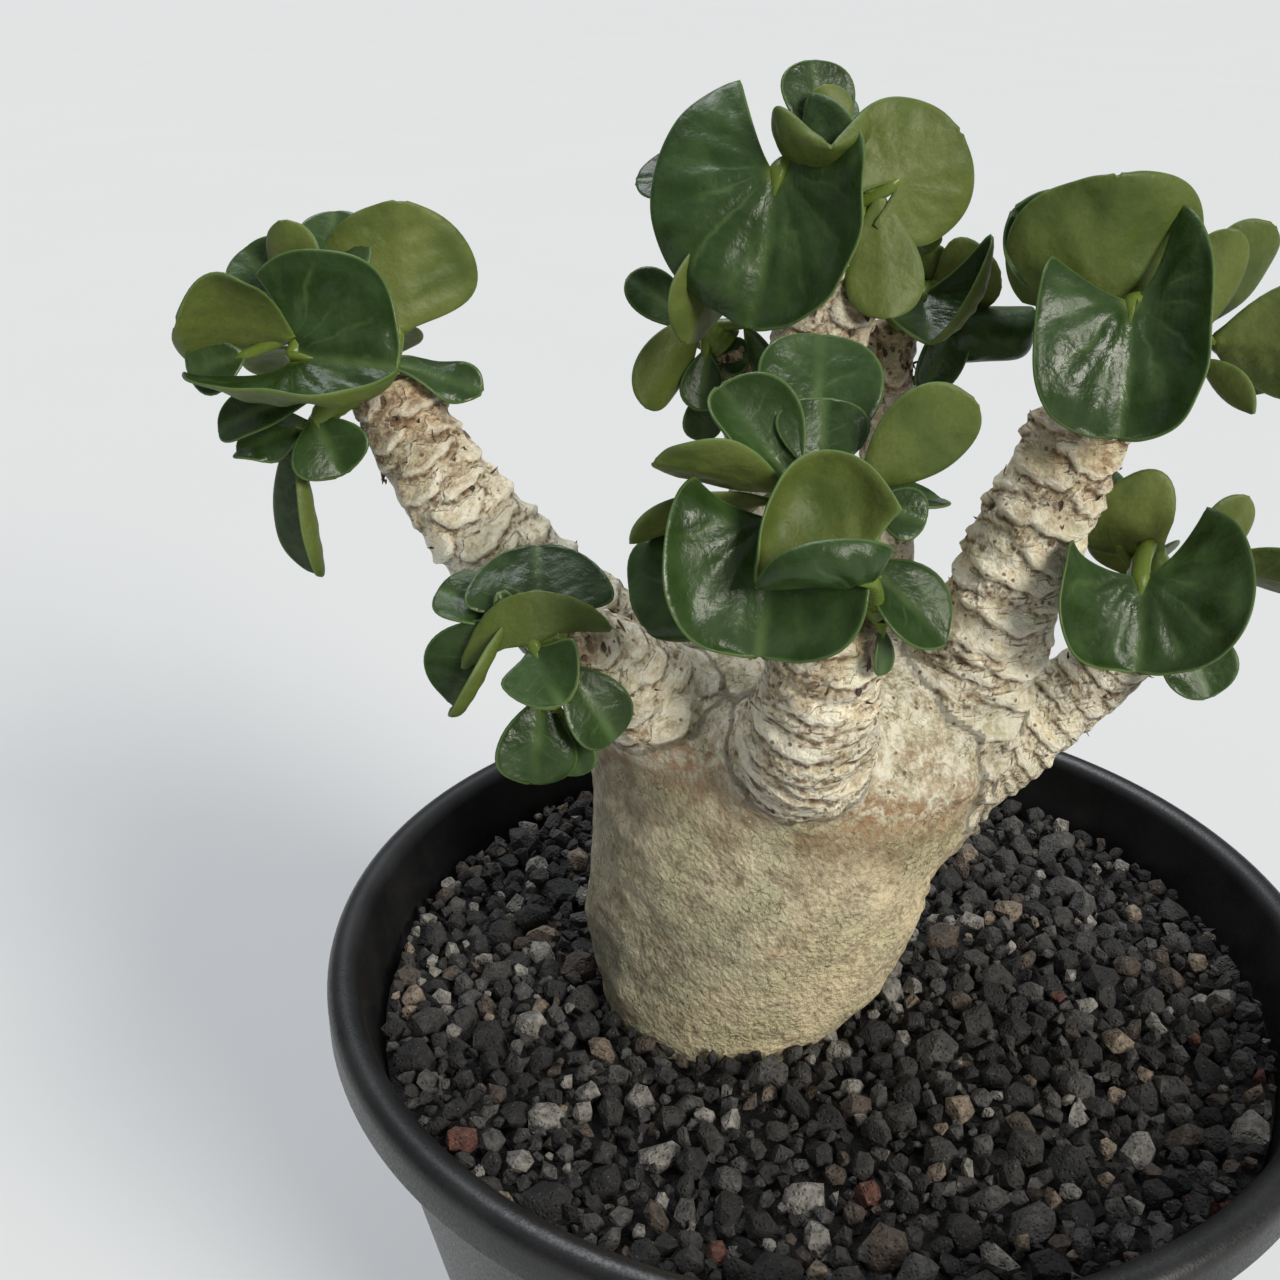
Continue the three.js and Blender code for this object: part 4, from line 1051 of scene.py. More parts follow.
@dataclass
class Pot:
    """The black nursery pot with its rolled rim."""

    height: float = 150.0
    rim_radius: float = 105.0
    base_radius: float = 70.0
    wall: float = 2.3
    floor: float = 3.0
    rim_width: float = 7.0
    rim_drop: float = 10.0
    rim_wall: float = 2.1
    rim_round: float = 3.4
    rim_hollow: float = 4.4
    foot_round: float = 1.6
    drain_holes: int = 6
    drain_hole_radius: float = 4.5
    drain_circle: float = 44.0
    sides: int = 180
    rim_steps: int = 16
    wall_steps: int = 14
    corner_steps: int = 5
    hollow_steps: int = 6
    lip_steps: int = 8
    lip_round: float = 1.0
    floor_ring: float = 30.0
    turn_radius: float = 50.0

    def inner_wall(self, z: float) -> float:
        """The inner radius at a height."""
        low, rise = self.base_radius - self.wall, self.height - self.rim_round - self.floor
        return low + (self.rim_radius - self.rim_width - low) * (z - self.floor) / rise

    def outer_wall(self, z: float) -> float:
        """The outer radius at a height below the rim."""
        top = self.inner_wall(self.height) + self.wall
        return self.base_radius + (top - self.base_radius) * z / self.height

    def bend(self, centre: Pair, radius: Pair, start: float, end: float, steps: int) -> list[Pair]:
        """Points on an oval arc between two angles in degrees, as radius and height."""
        turns = np.radians(np.linspace(start, end, steps + 1))
        return [(centre[0] + radius[0] * math.cos(a), centre[1] + radius[1] * math.sin(a)) for a in turns]

    def profile(self) -> list[Pair]:
        """Draws the wall's outline from the floor's centre outwards, up, over the rim and back in.

        Returns:
            The points, as radius and height.
        """
        hollow_top = self.height - self.rim_hollow
        lip = self.rim_radius - self.rim_wall / 2
        lip_height = self.height - self.rim_drop + self.lip_round
        corner = (self.foot_round, self.foot_round)
        foot = self.outer_wall(self.foot_round) - self.foot_round
        under = self.outer_wall(hollow_top)
        hollow_middle = (under + self.rim_radius - self.rim_wall) / 2
        hollow_half = (self.rim_radius - self.rim_wall - under) / 2
        hollow = (hollow_half, hollow_half)
        rim = (self.rim_radius - self.rim_width / 2, self.height - self.rim_round)
        inner_foot = self.inner_wall(self.floor + self.foot_round) - self.foot_round
        outer = np.linspace(self.foot_round, hollow_top - hollow_half, self.wall_steps)
        inner = np.linspace(self.height - self.rim_round, self.floor + self.foot_round, self.wall_steps)
        return [
            (0.0, 0.0),
            *[(r, 0.0) for r in np.linspace(self.floor_ring, foot - 1.0, 4)],
            *self.bend((foot, self.foot_round), corner, -90, 0, self.corner_steps),
            *[(self.outer_wall(z), z) for z in outer[1:-1]],
            *self.bend((hollow_middle, hollow_top - hollow_half), hollow, 180, 0, self.hollow_steps),
            (lip - self.rim_wall / 2, lip_height),
            *self.bend((lip, lip_height), (self.rim_wall / 2, self.lip_round), 180, 360, self.lip_steps),
            *self.bend(rim, (self.rim_width / 2, self.rim_round), 0, 180, self.rim_steps),
            *[(self.inner_wall(z), z) for z in inner[1:-1]],
            *self.bend((inner_foot, self.floor + self.foot_round), corner, 0, -90, self.corner_steps),
            (self.floor_ring, self.floor),
            (0.0, self.floor),
        ]

    def build(self) -> Piece:
        """Turns the profile round and finishes it.

        Returns:
            The pot.
        """
        outline = np.array(self.profile()[::-1])
        points = np.column_stack([outline[:, 0] - self.turn_radius, -outline[:, 1], np.zeros(len(outline))])
        mesh = bpy.data.meshes.new("pot_profile")
        edges = [(i, i + 1) for i in range(len(outline) - 1)]
        mesh.from_pydata((points * MM).tolist(), edges, [])
        piece = PotTree().run(
            link("pot_profile", mesh),
            "nursery_pot",
            Turn_Radius=self.turn_radius * MM,
            Turn_Sides=self.sides,
            Hole_Count=self.drain_holes,
            Hole_Radius=self.drain_hole_radius * MM,
            Hole_Circle=self.drain_circle * MM,
            Hole_Depth=4 * self.floor * MM,
            Material=PotPlastic().make(),
        )
        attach(piece, BODY)
        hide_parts("pot")
        return piece


@dataclass
class StoneGrade:
    """One grade of stones in the gravel."""

    radius: float
    tries: int
    top: float
    kinds: tuple[int, int]


@dataclass
class StoneLayer:
    """Where a layer's stones lie, with each one's radius and shape."""

    points: Array
    radii: Array
    kinds: Array

    def those(self, chosen: Array) -> "StoneLayer":
        """The chosen stones alone."""
        return StoneLayer(self.points[chosen], self.radii[chosen], self.kinds[chosen])


@dataclass
class Gravel:
    """The layer of loose lava stones round the trunk."""

    top: float = 137.0
    bed: float = 131.0
    bottom: float = 128.3
    reach: float = 94.2
    trunk_x: float = -20.2
    trunk_half: tuple[float, float] = (26.6, 25.2)
    closeness: float = 0.82
    large_kinds: int = 8
    small_kinds: int = 14
    large_corners: int = 30
    small_corners: int = 15
    seed: int = 11
    stones: tuple[StoneGrade, ...] = (
        StoneGrade(4.4, 60, 1.4, (0, 8)),
        StoneGrade(3.5, 260, 1.0, (0, 8)),
        StoneGrade(2.7, 1300, 0.5, (0, 8)),
        StoneGrade(2.1, 4500, 0.2, (8, 22)),
        StoneGrade(1.7, 12000, 0.3, (8, 22)),
        StoneGrade(1.2, 9000, -0.6, (8, 22)),
    )
    grit_radius: float = 2.4
    lower: tuple[StoneGrade, ...] = (StoneGrade(2.3, 7000, -3.4, (8, 22)),)
    radius_spread: Pair = (0.85, 1.18)
    sink_spread: Pair = (0.7, 1.05)
    corner_spread: Pair = (0.8, 1.1)
    squash_spread: Pair = (0.66, 1.24)
    wall_room: float = 0.8
    trunk_room: float = 0.75
    swell: Pair = (0.9, 24.0)
    bed_rings: int = 30
    bed_sides: int = 90
    bed_lumps: Pair = (1.2, 3.5)

    def stone_shapes(self) -> Shapes:
        """Makes the stones' shapes.

        Returns:
            A collection of lumps about 1 mm in radius, those with more corners first.
        """
        rng = np.random.default_rng(self.seed)
        shapes = bpy.data.collections.new("stone_shapes")
        for kind in range(self.large_kinds + self.small_kinds):
            mesh = bpy.data.meshes.new(f"stone_shape_{kind:02d}")
            form = bmesh.new()
            corners = self.large_corners if kind < self.large_kinds else self.small_corners
            directions = unit(rng.normal(size=(corners, 3)))
            for place in directions * rng.uniform(*self.corner_spread, (corners, 1)):
                form.verts.new(place)
            hull = bmesh.ops.convex_hull(form, input=form.verts)
            bmesh.ops.delete(form, geom=hull["geom_interior"], context="VERTS")
            bmesh.ops.scale(form, vec=Vector((MM, MM, MM)), verts=form.verts)
            bmesh.ops.recalc_face_normals(form, faces=form.faces)
            form.to_mesh(mesh)
            form.free()
            shapes.objects.link(bpy.data.objects.new(mesh.name, mesh))
        return shapes

    def settle(self, grades: Sequence[StoneGrade], seed: int) -> StoneLayer:
        """Throws stones on the bed, the larger ones first, and keeps those that find room.

        Args:
            grades: The grades to throw.
            seed: Chooses the throws.

        Returns:
            The stones that found room.
        """
        rng = np.random.default_rng(seed)
        places = np.empty((0, 2))
        radii = np.empty(0)
        heights = []
        kinds = []
        throws = [grade for grade in grades for _ in range(grade.tries)]
        for grade in throws:
            radius = grade.radius * rng.uniform(*self.radius_spread)
            angle = rng.uniform(0, 2 * math.pi)
            out = (self.reach - radius * self.wall_room) * math.sqrt(rng.uniform())
            spot = np.array([out * math.cos(angle), out * math.sin(angle)])
            trunk_half = np.array(self.trunk_half) + radius * self.trunk_room
            room = np.linalg.norm(places - spot, axis=1) - self.closeness * (radii + radius)
            if np.linalg.norm((spot - (self.trunk_x, 0.0)) / trunk_half) < 1.0 or np.any(room < 0):
                continue
            places = np.vstack([places, spot])
            radii = np.append(radii, radius)
            heights.append(self.top + grade.top - radius * rng.uniform(*self.sink_spread))
            kinds.append(rng.integers(*grade.kinds))
        points = np.column_stack([places, heights])
        swell_height, swell_size = self.swell
        points[:, 2] += swell_height * soft_noise(points * (1, 1, 0), swell_size, seed)
        return StoneLayer(points, radii, np.array(kinds, np.int32))

    def scatter(
        self, tree: ScatterTree, layer: StoneLayer, name: str, shapes: Shapes, lava: Material
    ) -> Piece:
        """Turns a layer into stones.

        Args:
            tree: The tree that sets the shapes.
            layer: The stones' places.
            name: The piece's name.
            shapes: The shapes to set.
            lava: Their finish.

        Returns:
            The stones as one piece.
        """
        rng = np.random.default_rng(len(layer.radii))
        count = len(layer.radii)
        stones = Sculpt()
        stones.add(
            layer.points,
            [],
            size=layer.radii[:, None] * rng.uniform(*self.squash_spread, (count, 3)),
            turn=np.zeros((count, 3)),
            tone=rng.uniform(0, 1, count),
            kind=layer.kinds,
        )
        source = stones.make(name + "_places", None)
        values = {"Shapes": shapes, "Turn_Spread": math.pi, "Seed": count, "Material": lava}
        return tree.run(source, name, **values)

    def build(self) -> list[Piece]:
        """Builds the bed and its stones.

        Returns:
            The bed, the stones, the grit between them and the stones under them.
        """
        lava = LavaStone().make()
        shapes = self.stone_shapes()
        tree = ScatterTree()
        top = self.settle(self.stones, self.seed)
        loads = {
            "lava_stones": top.those(top.radii > self.grit_radius),
            "lava_grit": top.those(top.radii <= self.grit_radius),
            "lava_underlayer": self.settle(self.lower, self.seed + 1),
        }
        pieces = [self.build_shade_bed(lava)]
        pieces += [self.scatter(tree, layer, name, shapes, lava) for name, layer in loads.items()]
        drop(shapes)
        for piece in pieces:
            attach(piece, BODY)
            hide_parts("gravel")
        return pieces

    def build_shade_bed(self, lava: Material) -> Piece:
        """Makes the dark bed that closes the view between the stones, painted black as their shade.

        Args:
            lava: The finish.

        Returns:
            The bed.
        """
        rings, sides = self.bed_rings, self.bed_sides
        reach = self.reach * np.arange(1, rings + 1) / rings
        turn = round_turn(sides)
        x = (reach[:, None] * np.cos(turn)).ravel()
        y = (reach[:, None] * np.sin(turn)).ravel()
        flat = np.column_stack([x, y, np.zeros(len(x))])
        lump_height, lump_size = self.bed_lumps
        height = self.bed + lump_height * soft_noise(flat, lump_size, self.seed)
        points = np.vstack([[0, 0, self.bed], flat + height[:, None] * (0, 0, 1)])
        base = points[-sides:] * (1, 1, 0) + (0, 0, self.bottom)
        faces: Faces = [(0, 1 + k, 1 + (k + 1) % sides) for k in range(sides)]
        faces += [(a, d, c, b) for a, b, c, d in ring_faces(rings + 1, sides, first=1)]
        faces.append(tuple(reversed(range(1 + rings * sides, 1 + (rings + 1) * sides))))
        bed = Sculpt()
        # Tone 0 gives the bed the blackest lava colour, as painted shade in the gaps between the stones.
        bed.add(np.vstack([points, base]), faces, tone=np.zeros(1 + (rings + 1) * sides))
        return bed.make("gravel_bed", lava)


@dataclass(frozen=True)
class Branch:
    """One bark branch, from inside the trunk to its end, with the leaf scars that ring it."""

    line: tuple[Station, ...]
    scar_width: float = 0.6
    scar_height: float = 3.2
    scar_pitch: float = 1.3
    fold: float = 0.8


@dataclass
class BranchPlace:
    """Where each point of the skin lies along its nearest branch."""

    index: Array
    along: Array
    share: Array
    turn: Array
    radius: Array
    gap: Array


BRANCHES = {
    "left_high": Branch(
        ((-26, 2, 188, 17), (-45, 3, 211, 13), (-59, 5, 226, 10.5))
        + ((-72, 6, 240, 9.8), (-81, 8, 253, 8.6), (-87, 10, 266, 7.4)),
        scar_width=0.95,
        scar_height=3.5,
        scar_pitch=1.35,
        fold=1.4,
    ),
    "left_low": Branch(((-32, -8, 203, 13), (-45, -16, 220, 9), (-54, -22, 228, 6.4)), fold=0.6),
    "centre_front": Branch(
        ((-9, -14, 199, 14.5), (-9, -28, 209, 12.6), (-8, -35, 223, 10.2), (-6.5, -36.5, 240, 8.5)),
        scar_width=1.35,
        scar_height=3.2,
        scar_pitch=0.8,
        fold=0.9,
    ),
    "back_tall": Branch(
        ((-8, 10, 200, 14), (-8, 14, 235, 10.5), (-7, 15, 262, 9.6), (-3, 15, 282, 9), (-0.5, 15, 292, 7.8))
    ),
    "back_right": Branch(
        ((6, 15, 196, 11), (12, 28, 235, 6.2), (10.5, 30, 262, 5.4), (11.5, 30, 272, 5)), fold=0.5
    ),
    "back_left": Branch(
        ((-12, 17, 196, 11), (-15, 32, 235, 5.8), (-18.5, 35, 258, 5), (-21.5, 35, 266, 4.6)), fold=0.5
    ),
    "right_high": Branch(
        ((10, 2, 178, 20), (25, 1, 206, 13.5), (32, 0, 228, 11), (38, 0, 248, 9.7), (45, 0, 267, 8.2)),
        scar_width=1.1,
        scar_height=4.6,
        scar_pitch=1.6,
        fold=1.6,
    ),
    "right_low": Branch(
        ((16, 5, 178, 15), (33, 7, 187, 10.2), (46, 8, 198, 8.4), (57, 7.5, 209, 7.3), (61, 6, 221, 6)),
        scar_width=1.25,
        scar_height=3.0,
        scar_pitch=1.3,
        fold=0.9,
    ),
}


@dataclass(frozen=True)
class Wart:
    """A small pinkish bump on the trunk."""

    place: Point
    radius: float
    height: float


SKIN_PAINTS = {
    "zone": ("limb", "tip", "upper"),
    "scar": ("depth", "tone", "weight"),
    # The middle value of this painted triple is painted light on the body's lower right.
    "tint": ("blush", "lit_gold", "umber"),
}


@dataclass
class Skin:
    """The caudex skin's points with what is known of each: its branch, and its place round the trunk."""

    points: Array
    spot: BranchPlace
    gap: Array
    azimuth: Array
    across: Array


@dataclass
class ScarMarks:
    """What the leaf scars leave at each point.

    height is the relief, depth how far the point is inside the nearest scar's edge in millimetres, less
    than 0 just below it, tone the scar's own tone, and weight how near the point is to a lower edge.
    """

    height: Array
    depth: Array
    tone: Array
    weight: Array


@dataclass
class Caudex:
    """The swollen trunk and its branches, with wrinkles, ring folds and leaf scars."""

    sections: tuple[tuple[float, ...], ...] = (
        (98, -20, 0, 7, 7),
        (112, -20, 0, 17, 16),
        (126, -20, 0, 25, 24),
        (134, -19.8, 0, 27, 25.5),
        (144, -17, 0, 32, 28),
        (157, -14.5, 0, 35, 30),
        (170, -12.7, 0, 36, 31),
        (182, -11, 1, 38, 32),
        (192, -10, 2, 39.5, 32),
        (202, -10, 3, 37.5, 30),
        (210, -10, 4, 30, 25),
        (215.5, -10, 5, 18, 15),
    )
    warts: tuple[Wart, ...] = (
        Wart((-28.8, -31, 173.2), 2.0, 1.1),
        Wart((-13, -30, 164.6), 1.8, 0.9),
        Wart((10.3, -16, 157.1), 1.8, 0.9),
        Wart((13.7, -22, 201.2), 4.2, 1.9),
        Wart((22.1, -12, 190.8), 3.0, 1.4),
        Wart((-39.2, -24, 206.4), 3.4, 0.9),
        Wart((-26.9, -31, 205.1), 2.4, 0.8),
    )
    form_rings: int = 60
    sides: int = 72
    branch_rings: int = 40
    branch_sides: int = 28
    branch_steps: int = 90
    batch: int = 8192
    voxel: float = 0.84
    soften: int = 12
    easing: int = 90
    crown: float = 197.0
    crown_tilt: float = 7.0
    twist: float = 0.012
    grain_rise: float = 0.85
    limb_grain: float = 0.6
    far: float = 3.0
    seed: int = 5
    body_lumps: tuple[Lumps, ...] = (
        Lumps(0.16, 1.6, 1),
        Lumps(0.75, 9.0, 2),
        Lumps(0.3, 4.0, 18, (1.0, 1.0, 1.6)),
    )
    crown_lumps: tuple[Lumps, ...] = (Lumps(0.9, 6.0, 4), Lumps(0.35, 2.4, 6))
    crown_lift: float = 0.5
    crown_edge: Lumps = Lumps(2.5, 9.0, 5)
    limb_edge: Lumps = Lumps(1.3, 4.0, 17)
    limb_lumps: Lumps = Lumps(0.3, 3.0, 7)
    limb_wrinkles: Lumps = Lumps(0.15, 0.8, 8)
    youth_edge: Lumps = Lumps(0.14, 5.0, 16)
    tip_edge: Lumps = Lumps(0.12, 4.0, 9)
    collar_height: float = 0.35
    collar_pitch: float = 2.3
    collar_drift: Lumps = Lumps(3.0, 6.0, 12)
    collar_gaps: Lumps = Lumps(1.0, 9.0, 14)
    wart_lumps: Lumps = Lumps(0.25, 1.6, 15)

    def trunk_at(self, z: Array) -> Array:
        """The trunk's centre and half widths at heights.

        Args:
            z: Heights.

        Returns:
            Centre x and y, half widths along x and y, and the level among the sections, in columns.
        """
        table = np.array(self.sections)
        level = np.interp(z, table[:, 0], np.arange(len(table)))
        columns = [np.interp(z, table[:, 0], table[:, k]) for k in range(1, 5)]
        return np.column_stack([*columns, level])

    def trunk_form(self) -> tuple[Array, Faces]:
        """Lofts the trunk without its branches.

        Returns:
            The points and faces, with a cap at each end.
        """
        z = np.linspace(self.sections[0][0], self.sections[-1][0], self.form_rings)
        x, y, half_x, half_y, level = (column[:, None] for column in self.trunk_at(z).T)
        turn = round_turn(self.sides)[None, :]
        lump = 1 + 0.02 * np.sin(3 * turn + 0.9 * level) + 0.015 * np.sin(5 * turn - 1.7 * level)
        out_x, out_y = half_x * lump * np.cos(turn), half_y * lump * np.sin(turn)
        rings = np.stack([x + out_x, y + out_y, z[:, None] + 0 * turn], -1)
        return rings.reshape(-1, 3), capped_rings(len(z), self.sides)

    def grow(self) -> Piece:
        """Joins trunk and branches into one skin and rounds the joins.

        Returns:
            The plain form, before its relief.
        """
        form = Sculpt()
        form.add(*self.trunk_form())
        for branch in BRANCHES.values():
            centres, radii = follow(branch.line, self.branch_rings)
            form.add(*tube(centres, radii, self.branch_sides, FRONT))
        source = form.make("caudex_form", None)
        remesh = source.modifiers.new("one_skin", "REMESH")
        remesh.mode = "VOXEL"
        remesh.voxel_size = self.voxel * MM
        rounding = source.modifiers.new("rounding", "SMOOTH")
        rounding.factor = 0.5
        rounding.iterations = self.soften
        return keep_result(source, "caudex_skin")

    def trunk_gap(self, points: Array) -> tuple[Array, Array, Array]:
        """Finds how far points are outside the trunk.

        Args:
            points: Points of the skin.

        Returns:
            The distances, the directions round the trunk and the distances from its axis.
        """
        centre_x, centre_y, half_x, half_y, _ = self.trunk_at(points[:, 2]).T
        from_x = points[:, 0] - centre_x
        from_y = points[:, 1] - centre_y
        gap = (np.hypot(from_x / half_x, from_y / half_y) - 1) * np.minimum(half_x, half_y)
        gap = np.maximum(gap, points[:, 2] - self.sections[-1][0])
        return gap, np.arctan2(from_y / half_y, from_x / half_x), np.hypot(from_x, from_y)

    def ease_joins(self, mesh: Mesh, points: Array, spot: BranchPlace) -> Array:
        """Rounds the creases where the branches leave the trunk.

        Args:
            mesh: The skin.
            points: Its points.
            spot: Their places on the branches.

        Returns:
            The eased points.
        """
        beside = smoothstep(13.0, 4.0, np.abs(self.trunk_gap(points)[0]))
        near = beside * smoothstep(11.0, 3.0, np.abs(spot.gap))
        ends = np.empty(len(mesh.edges) * 2, np.int32)
        mesh.edges.foreach_get("vertices", ends)
        first = np.concatenate([ends[::2], ends[1::2]])
        second = np.concatenate([ends[1::2], ends[::2]])
        neighbours = np.bincount(first, minlength=len(points))
        for _ in range(self.easing):
            sums = [np.bincount(first, points[second, axis], len(points)) for axis in range(3)]
            middle = np.column_stack(sums) / neighbours[:, None]
            points = points + (middle - points) * (0.8 * near)[:, None]
        return points

    def on_branches(self, points: Array) -> BranchPlace:
        """Finds each point's place on its nearest branch.

        Args:
            points: Points of the skin.

        Returns:
            The places.
        """
        count = len(points)
        best = BranchPlace(*(np.zeros(count) for _ in range(5)), np.full(count, np.inf))
        for index, branch in enumerate(BRANCHES.values()):
            centres, radii = follow(branch.line, self.branch_steps)
            forward, side, up = frames_along(centres, FRONT)
            lengths = np.concatenate([[0], np.cumsum(np.linalg.norm(np.diff(centres, axis=0), axis=1))])
            for start in range(0, count, self.batch):
                part = slice(start, min(start + self.batch, count))
                offset = points[part, None] - centres[None]
                distance = np.linalg.norm(offset, axis=2)
                nearest = np.argmin(distance, axis=1)
                rows = np.arange(len(nearest))
                away = offset[rows, nearest]
                ahead = np.sum(away * forward[nearest], axis=1)
                gap = distance[rows, nearest] - radii[nearest]
                closer = gap < best.gap[part]
                place = np.flatnonzero(closer) + start
                at = nearest[closer]
                best.gap[place] = gap[closer]
                best.index[place] = index
                best.along[place] = lengths[at] + ahead[closer]
                best.share[place] = (lengths[at] + ahead[closer]) / lengths[-1]
                best.radius[place] = radii[at]
                best.turn[place] = np.arctan2(
                    np.sum(away[closer] * up[at], axis=1), np.sum(away[closer] * side[at], axis=1)
                )
        return best

    def press_scar(
        self, rng: np.random.Generator, branch: Branch, k: int, along: Array, turn: Array, marks: ScarMarks
    ) -> None:
        """Presses one leaf scar into a branch, over the older ones.

        Args:
            rng: Gives the scar its chance values.
            branch: The branch.
            k: The scar's number from the branch's foot up.
            along: How far each of the branch's points is up the branch.
            turn: Where each is round it.
            marks: The marks so far, which are changed.
        """
        centre = k * branch.scar_pitch + rng.uniform(-0.6, 0.6)
        angle = k * GOLDEN_ANGLE + rng.uniform(-0.35, 0.35)
        tall = branch.scar_height * rng.uniform(0.75, 1.25)
        wide = branch.scar_width * rng.uniform(0.75, 1.3)
        slant = rng.uniform(-1.0, 1.2)
        near = np.flatnonzero(np.abs(along - centre) < 1.8 * tall)
        away = (turn[near] - angle + math.pi) % (2 * math.pi) - math.pi
        rise = (along[near] - centre - slant * away) / tall
        reach = np.hypot(away / wide, rise)
        reach += 0.09 * np.sin(5 * away + k) + 0.05 * np.sin(13 * away + 2 * k)
        margin = (1 - reach) * tall
        inside = margin > 0
        roll = smoothstep(-0.4, 1.0, margin[inside]) * smoothstep(3.4, 1.0, margin[inside])
        lip = roll * (0.6 - 0.45 * np.clip(rise[inside] * 1.4, -1, 1))
        covered = near[inside]
        marks.height[covered] = rng.uniform(0.65, 1.2) * lip + 0.1
        marks.depth[covered] = margin[inside]
        marks.weight[covered] = smoothstep(0.4, 0.0, rise[inside])
        marks.tone[covered] = rng.uniform()
        below = (margin <= 0) & (margin > -1.3) & (rise < 0.15)
        under = near[below]
        marks.depth[under] = margin[below]
        marks.weight[under] = smoothstep(-1.3, -0.8, margin[below]) * smoothstep(0.15, -0.1, rise[below])

    def scars(self, spot: BranchPlace) -> ScarMarks:
        """Lays leaf scars over each branch from its foot up, so that each overlaps the older ones.

        Args:
            spot: The points' places on the branches.

        Returns:
            The marks at every point.
        """
        rng = np.random.default_rng(self.seed)
        starts = (0.0, self.far, 0.5, 0.0)
        whole = ScarMarks(*(np.full(len(spot.index), start) for start in starts))
        for index, branch in enumerate(BRANCHES.values()):
            own = np.flatnonzero(spot.index == index)
            along, turn = spot.along[own], spot.turn[own]
            marks = ScarMarks(*(np.full(len(own), start) for start in starts))
            for k in range(int(along.max() / branch.scar_pitch)):
                self.press_scar(rng, branch, k, along, turn, marks)
            whole.height[own] = branch.fold * (0.4 + 0.06 * spot.radius[own]) * (marks.height - 0.4)
            whole.depth[own] = marks.depth
            whole.tone[own] = marks.tone
            whole.weight[own] = marks.weight
        return whole

    def zones(self, skin: Skin) -> dict[str, Array]:
        """Finds where the skin is crown or branch, young or old, where it is tinted and where light is
        painted.

        Args:
            skin: The skin, before its relief.

        Returns:
            The shares, by name.
        """
        points, height = skin.points, skin.points[:, 2]
        limb = smoothstep(0.5, 4.5, skin.gap + self.limb_edge.at(points))
        limb = limb * smoothstep(6.0, 2.0, skin.spot.gap)
        border = self.crown - self.crown_tilt * np.cos(skin.azimuth) + self.crown_edge.at(points)
        border += 1.5 * np.sin(3 * skin.azimuth + 0.6)
        above = height - border
        return {
            "limb": limb,
            "upper": np.maximum(smoothstep(-3.0, 4.0, above), limb),
            "youth": smoothstep(0.08, 0.42, skin.spot.share + self.youth_edge.at(points)),
            "blush": np.exp(-((above / 5.0) ** 2)) * (1 - limb),
            # Painted light, partly the bark's own golden hue: stronger towards the lower right of the body.
            "lit_gold": smoothstep(188.0, 140.0, height - 1.3 * (points[:, 0] + 14.0)),
            "umber": np.exp(-(((above + 7.0) / 6.5) ** 2)) * (1 - limb),
        }

    def grains(self, skin: Skin) -> tuple[Array, Array]:
        """Unrolls the trunk and the branches, so that their grain follows the surface.

        Args:
            skin: The skin, before its relief.

        Returns:
            The places in the trunk's grain and in the branches' grain.
        """
        height, across = skin.points[:, 2], skin.across
        twisted = skin.azimuth + self.twist * height
        turn, around = skin.spot.turn, self.limb_grain * skin.spot.radius
        body = (across * np.cos(twisted), across * np.sin(twisted), self.grain_rise * height)
        limb = (around * np.cos(turn), around * np.sin(turn), skin.spot.along + 40 * skin.spot.index)
        return np.column_stack(body), np.column_stack(limb)

    def relief(self, skin: Skin, zones: dict[str, Array], limb_grain: Array, scar_height: Array) -> Array:
        """The height of lumps, collars, scars and warts, which also blush.

        Args:
            skin: The skin, before its relief.
            zones: Its zones, of which blush is changed.
            limb_grain: The places in the branches' grain.
            scar_height: The scars' height.

        Returns:
            The height at each point.
        """
        points, limb, gap = skin.points, zones["limb"], skin.spot.gap
        height = sum(lumps.at(points) for lumps in self.body_lumps)
        crown_height = sum(lumps.at(points) for lumps in self.crown_lumps) + self.crown_lift
        height += (crown_height - height) * zones["upper"]
        wave = np.sin(2 * math.pi * gap / self.collar_pitch + self.collar_drift.at(points))
        collar = (1 - limb) * smoothstep(7.0, 1.5, gap) * smoothstep(-0.3, 0.5, self.collar_gaps.at(points))
        height += self.collar_height * collar * wave
        limb_height = scar_height + self.limb_lumps.at(points) + self.limb_wrinkles.at(limb_grain)
        height += (limb_height - height) * limb
        for wart in self.warts:
            away = np.linalg.norm((points - wart.place) * (1, 0.6, 1.3), axis=1) / wart.radius
            bump = np.exp(-(away**4))
            height += wart.height * bump * (1 + self.wart_lumps.at(points))
            zones["blush"] = np.maximum(zones["blush"], 0.8 * bump)
        return height

    def build(self) -> Piece:
        """Grows the form, presses the relief into it and paints its zones.

        Returns:
            The trunk with its branches.
        """
        piece = self.grow()
        mesh = piece.data
        points = read_vectors(mesh.vertices, "co") / MM
        spot = self.on_branches(points)
        skin = Skin(self.ease_joins(mesh, points, spot), spot, *[np.empty(0)] * 3)
        move_points(mesh, skin.points)
        skin.gap, skin.azimuth, skin.across = self.trunk_gap(skin.points)
        zones = self.zones(skin)
        marks = self.scars(spot)
        body_grain, limb_grain = self.grains(skin)
        height = self.relief(skin, zones, limb_grain, marks.height)
        points = skin.points + read_vectors(mesh.vertex_normals, "vector") * height[:, None]
        move_points(mesh, points)
        zones["tip"] = zones["limb"] * smoothstep(0.68, 0.97, spot.share + self.tip_edge.at(points))
        zones |= {"depth": marks.depth, "tone": marks.tone}
        zones["weight"] = marks.weight * smoothstep(0.1, 0.6, zones["limb"])
        along_limb = smoothstep(0.35, 0.65, zones["limb"])[:, None]
        paint(mesh, "grain", body_grain + (limb_grain - body_grain) * along_limb)
        for name, labels in SKIN_PAINTS.items():
            paint(mesh, name, np.column_stack([zones[label] for label in labels]))
        paint(mesh, "youth", zones["youth"])
        mesh.shade_smooth()
        mesh.materials.append(Bark().make())
        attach(piece, BODY)
        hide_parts("caudex")
        return piece


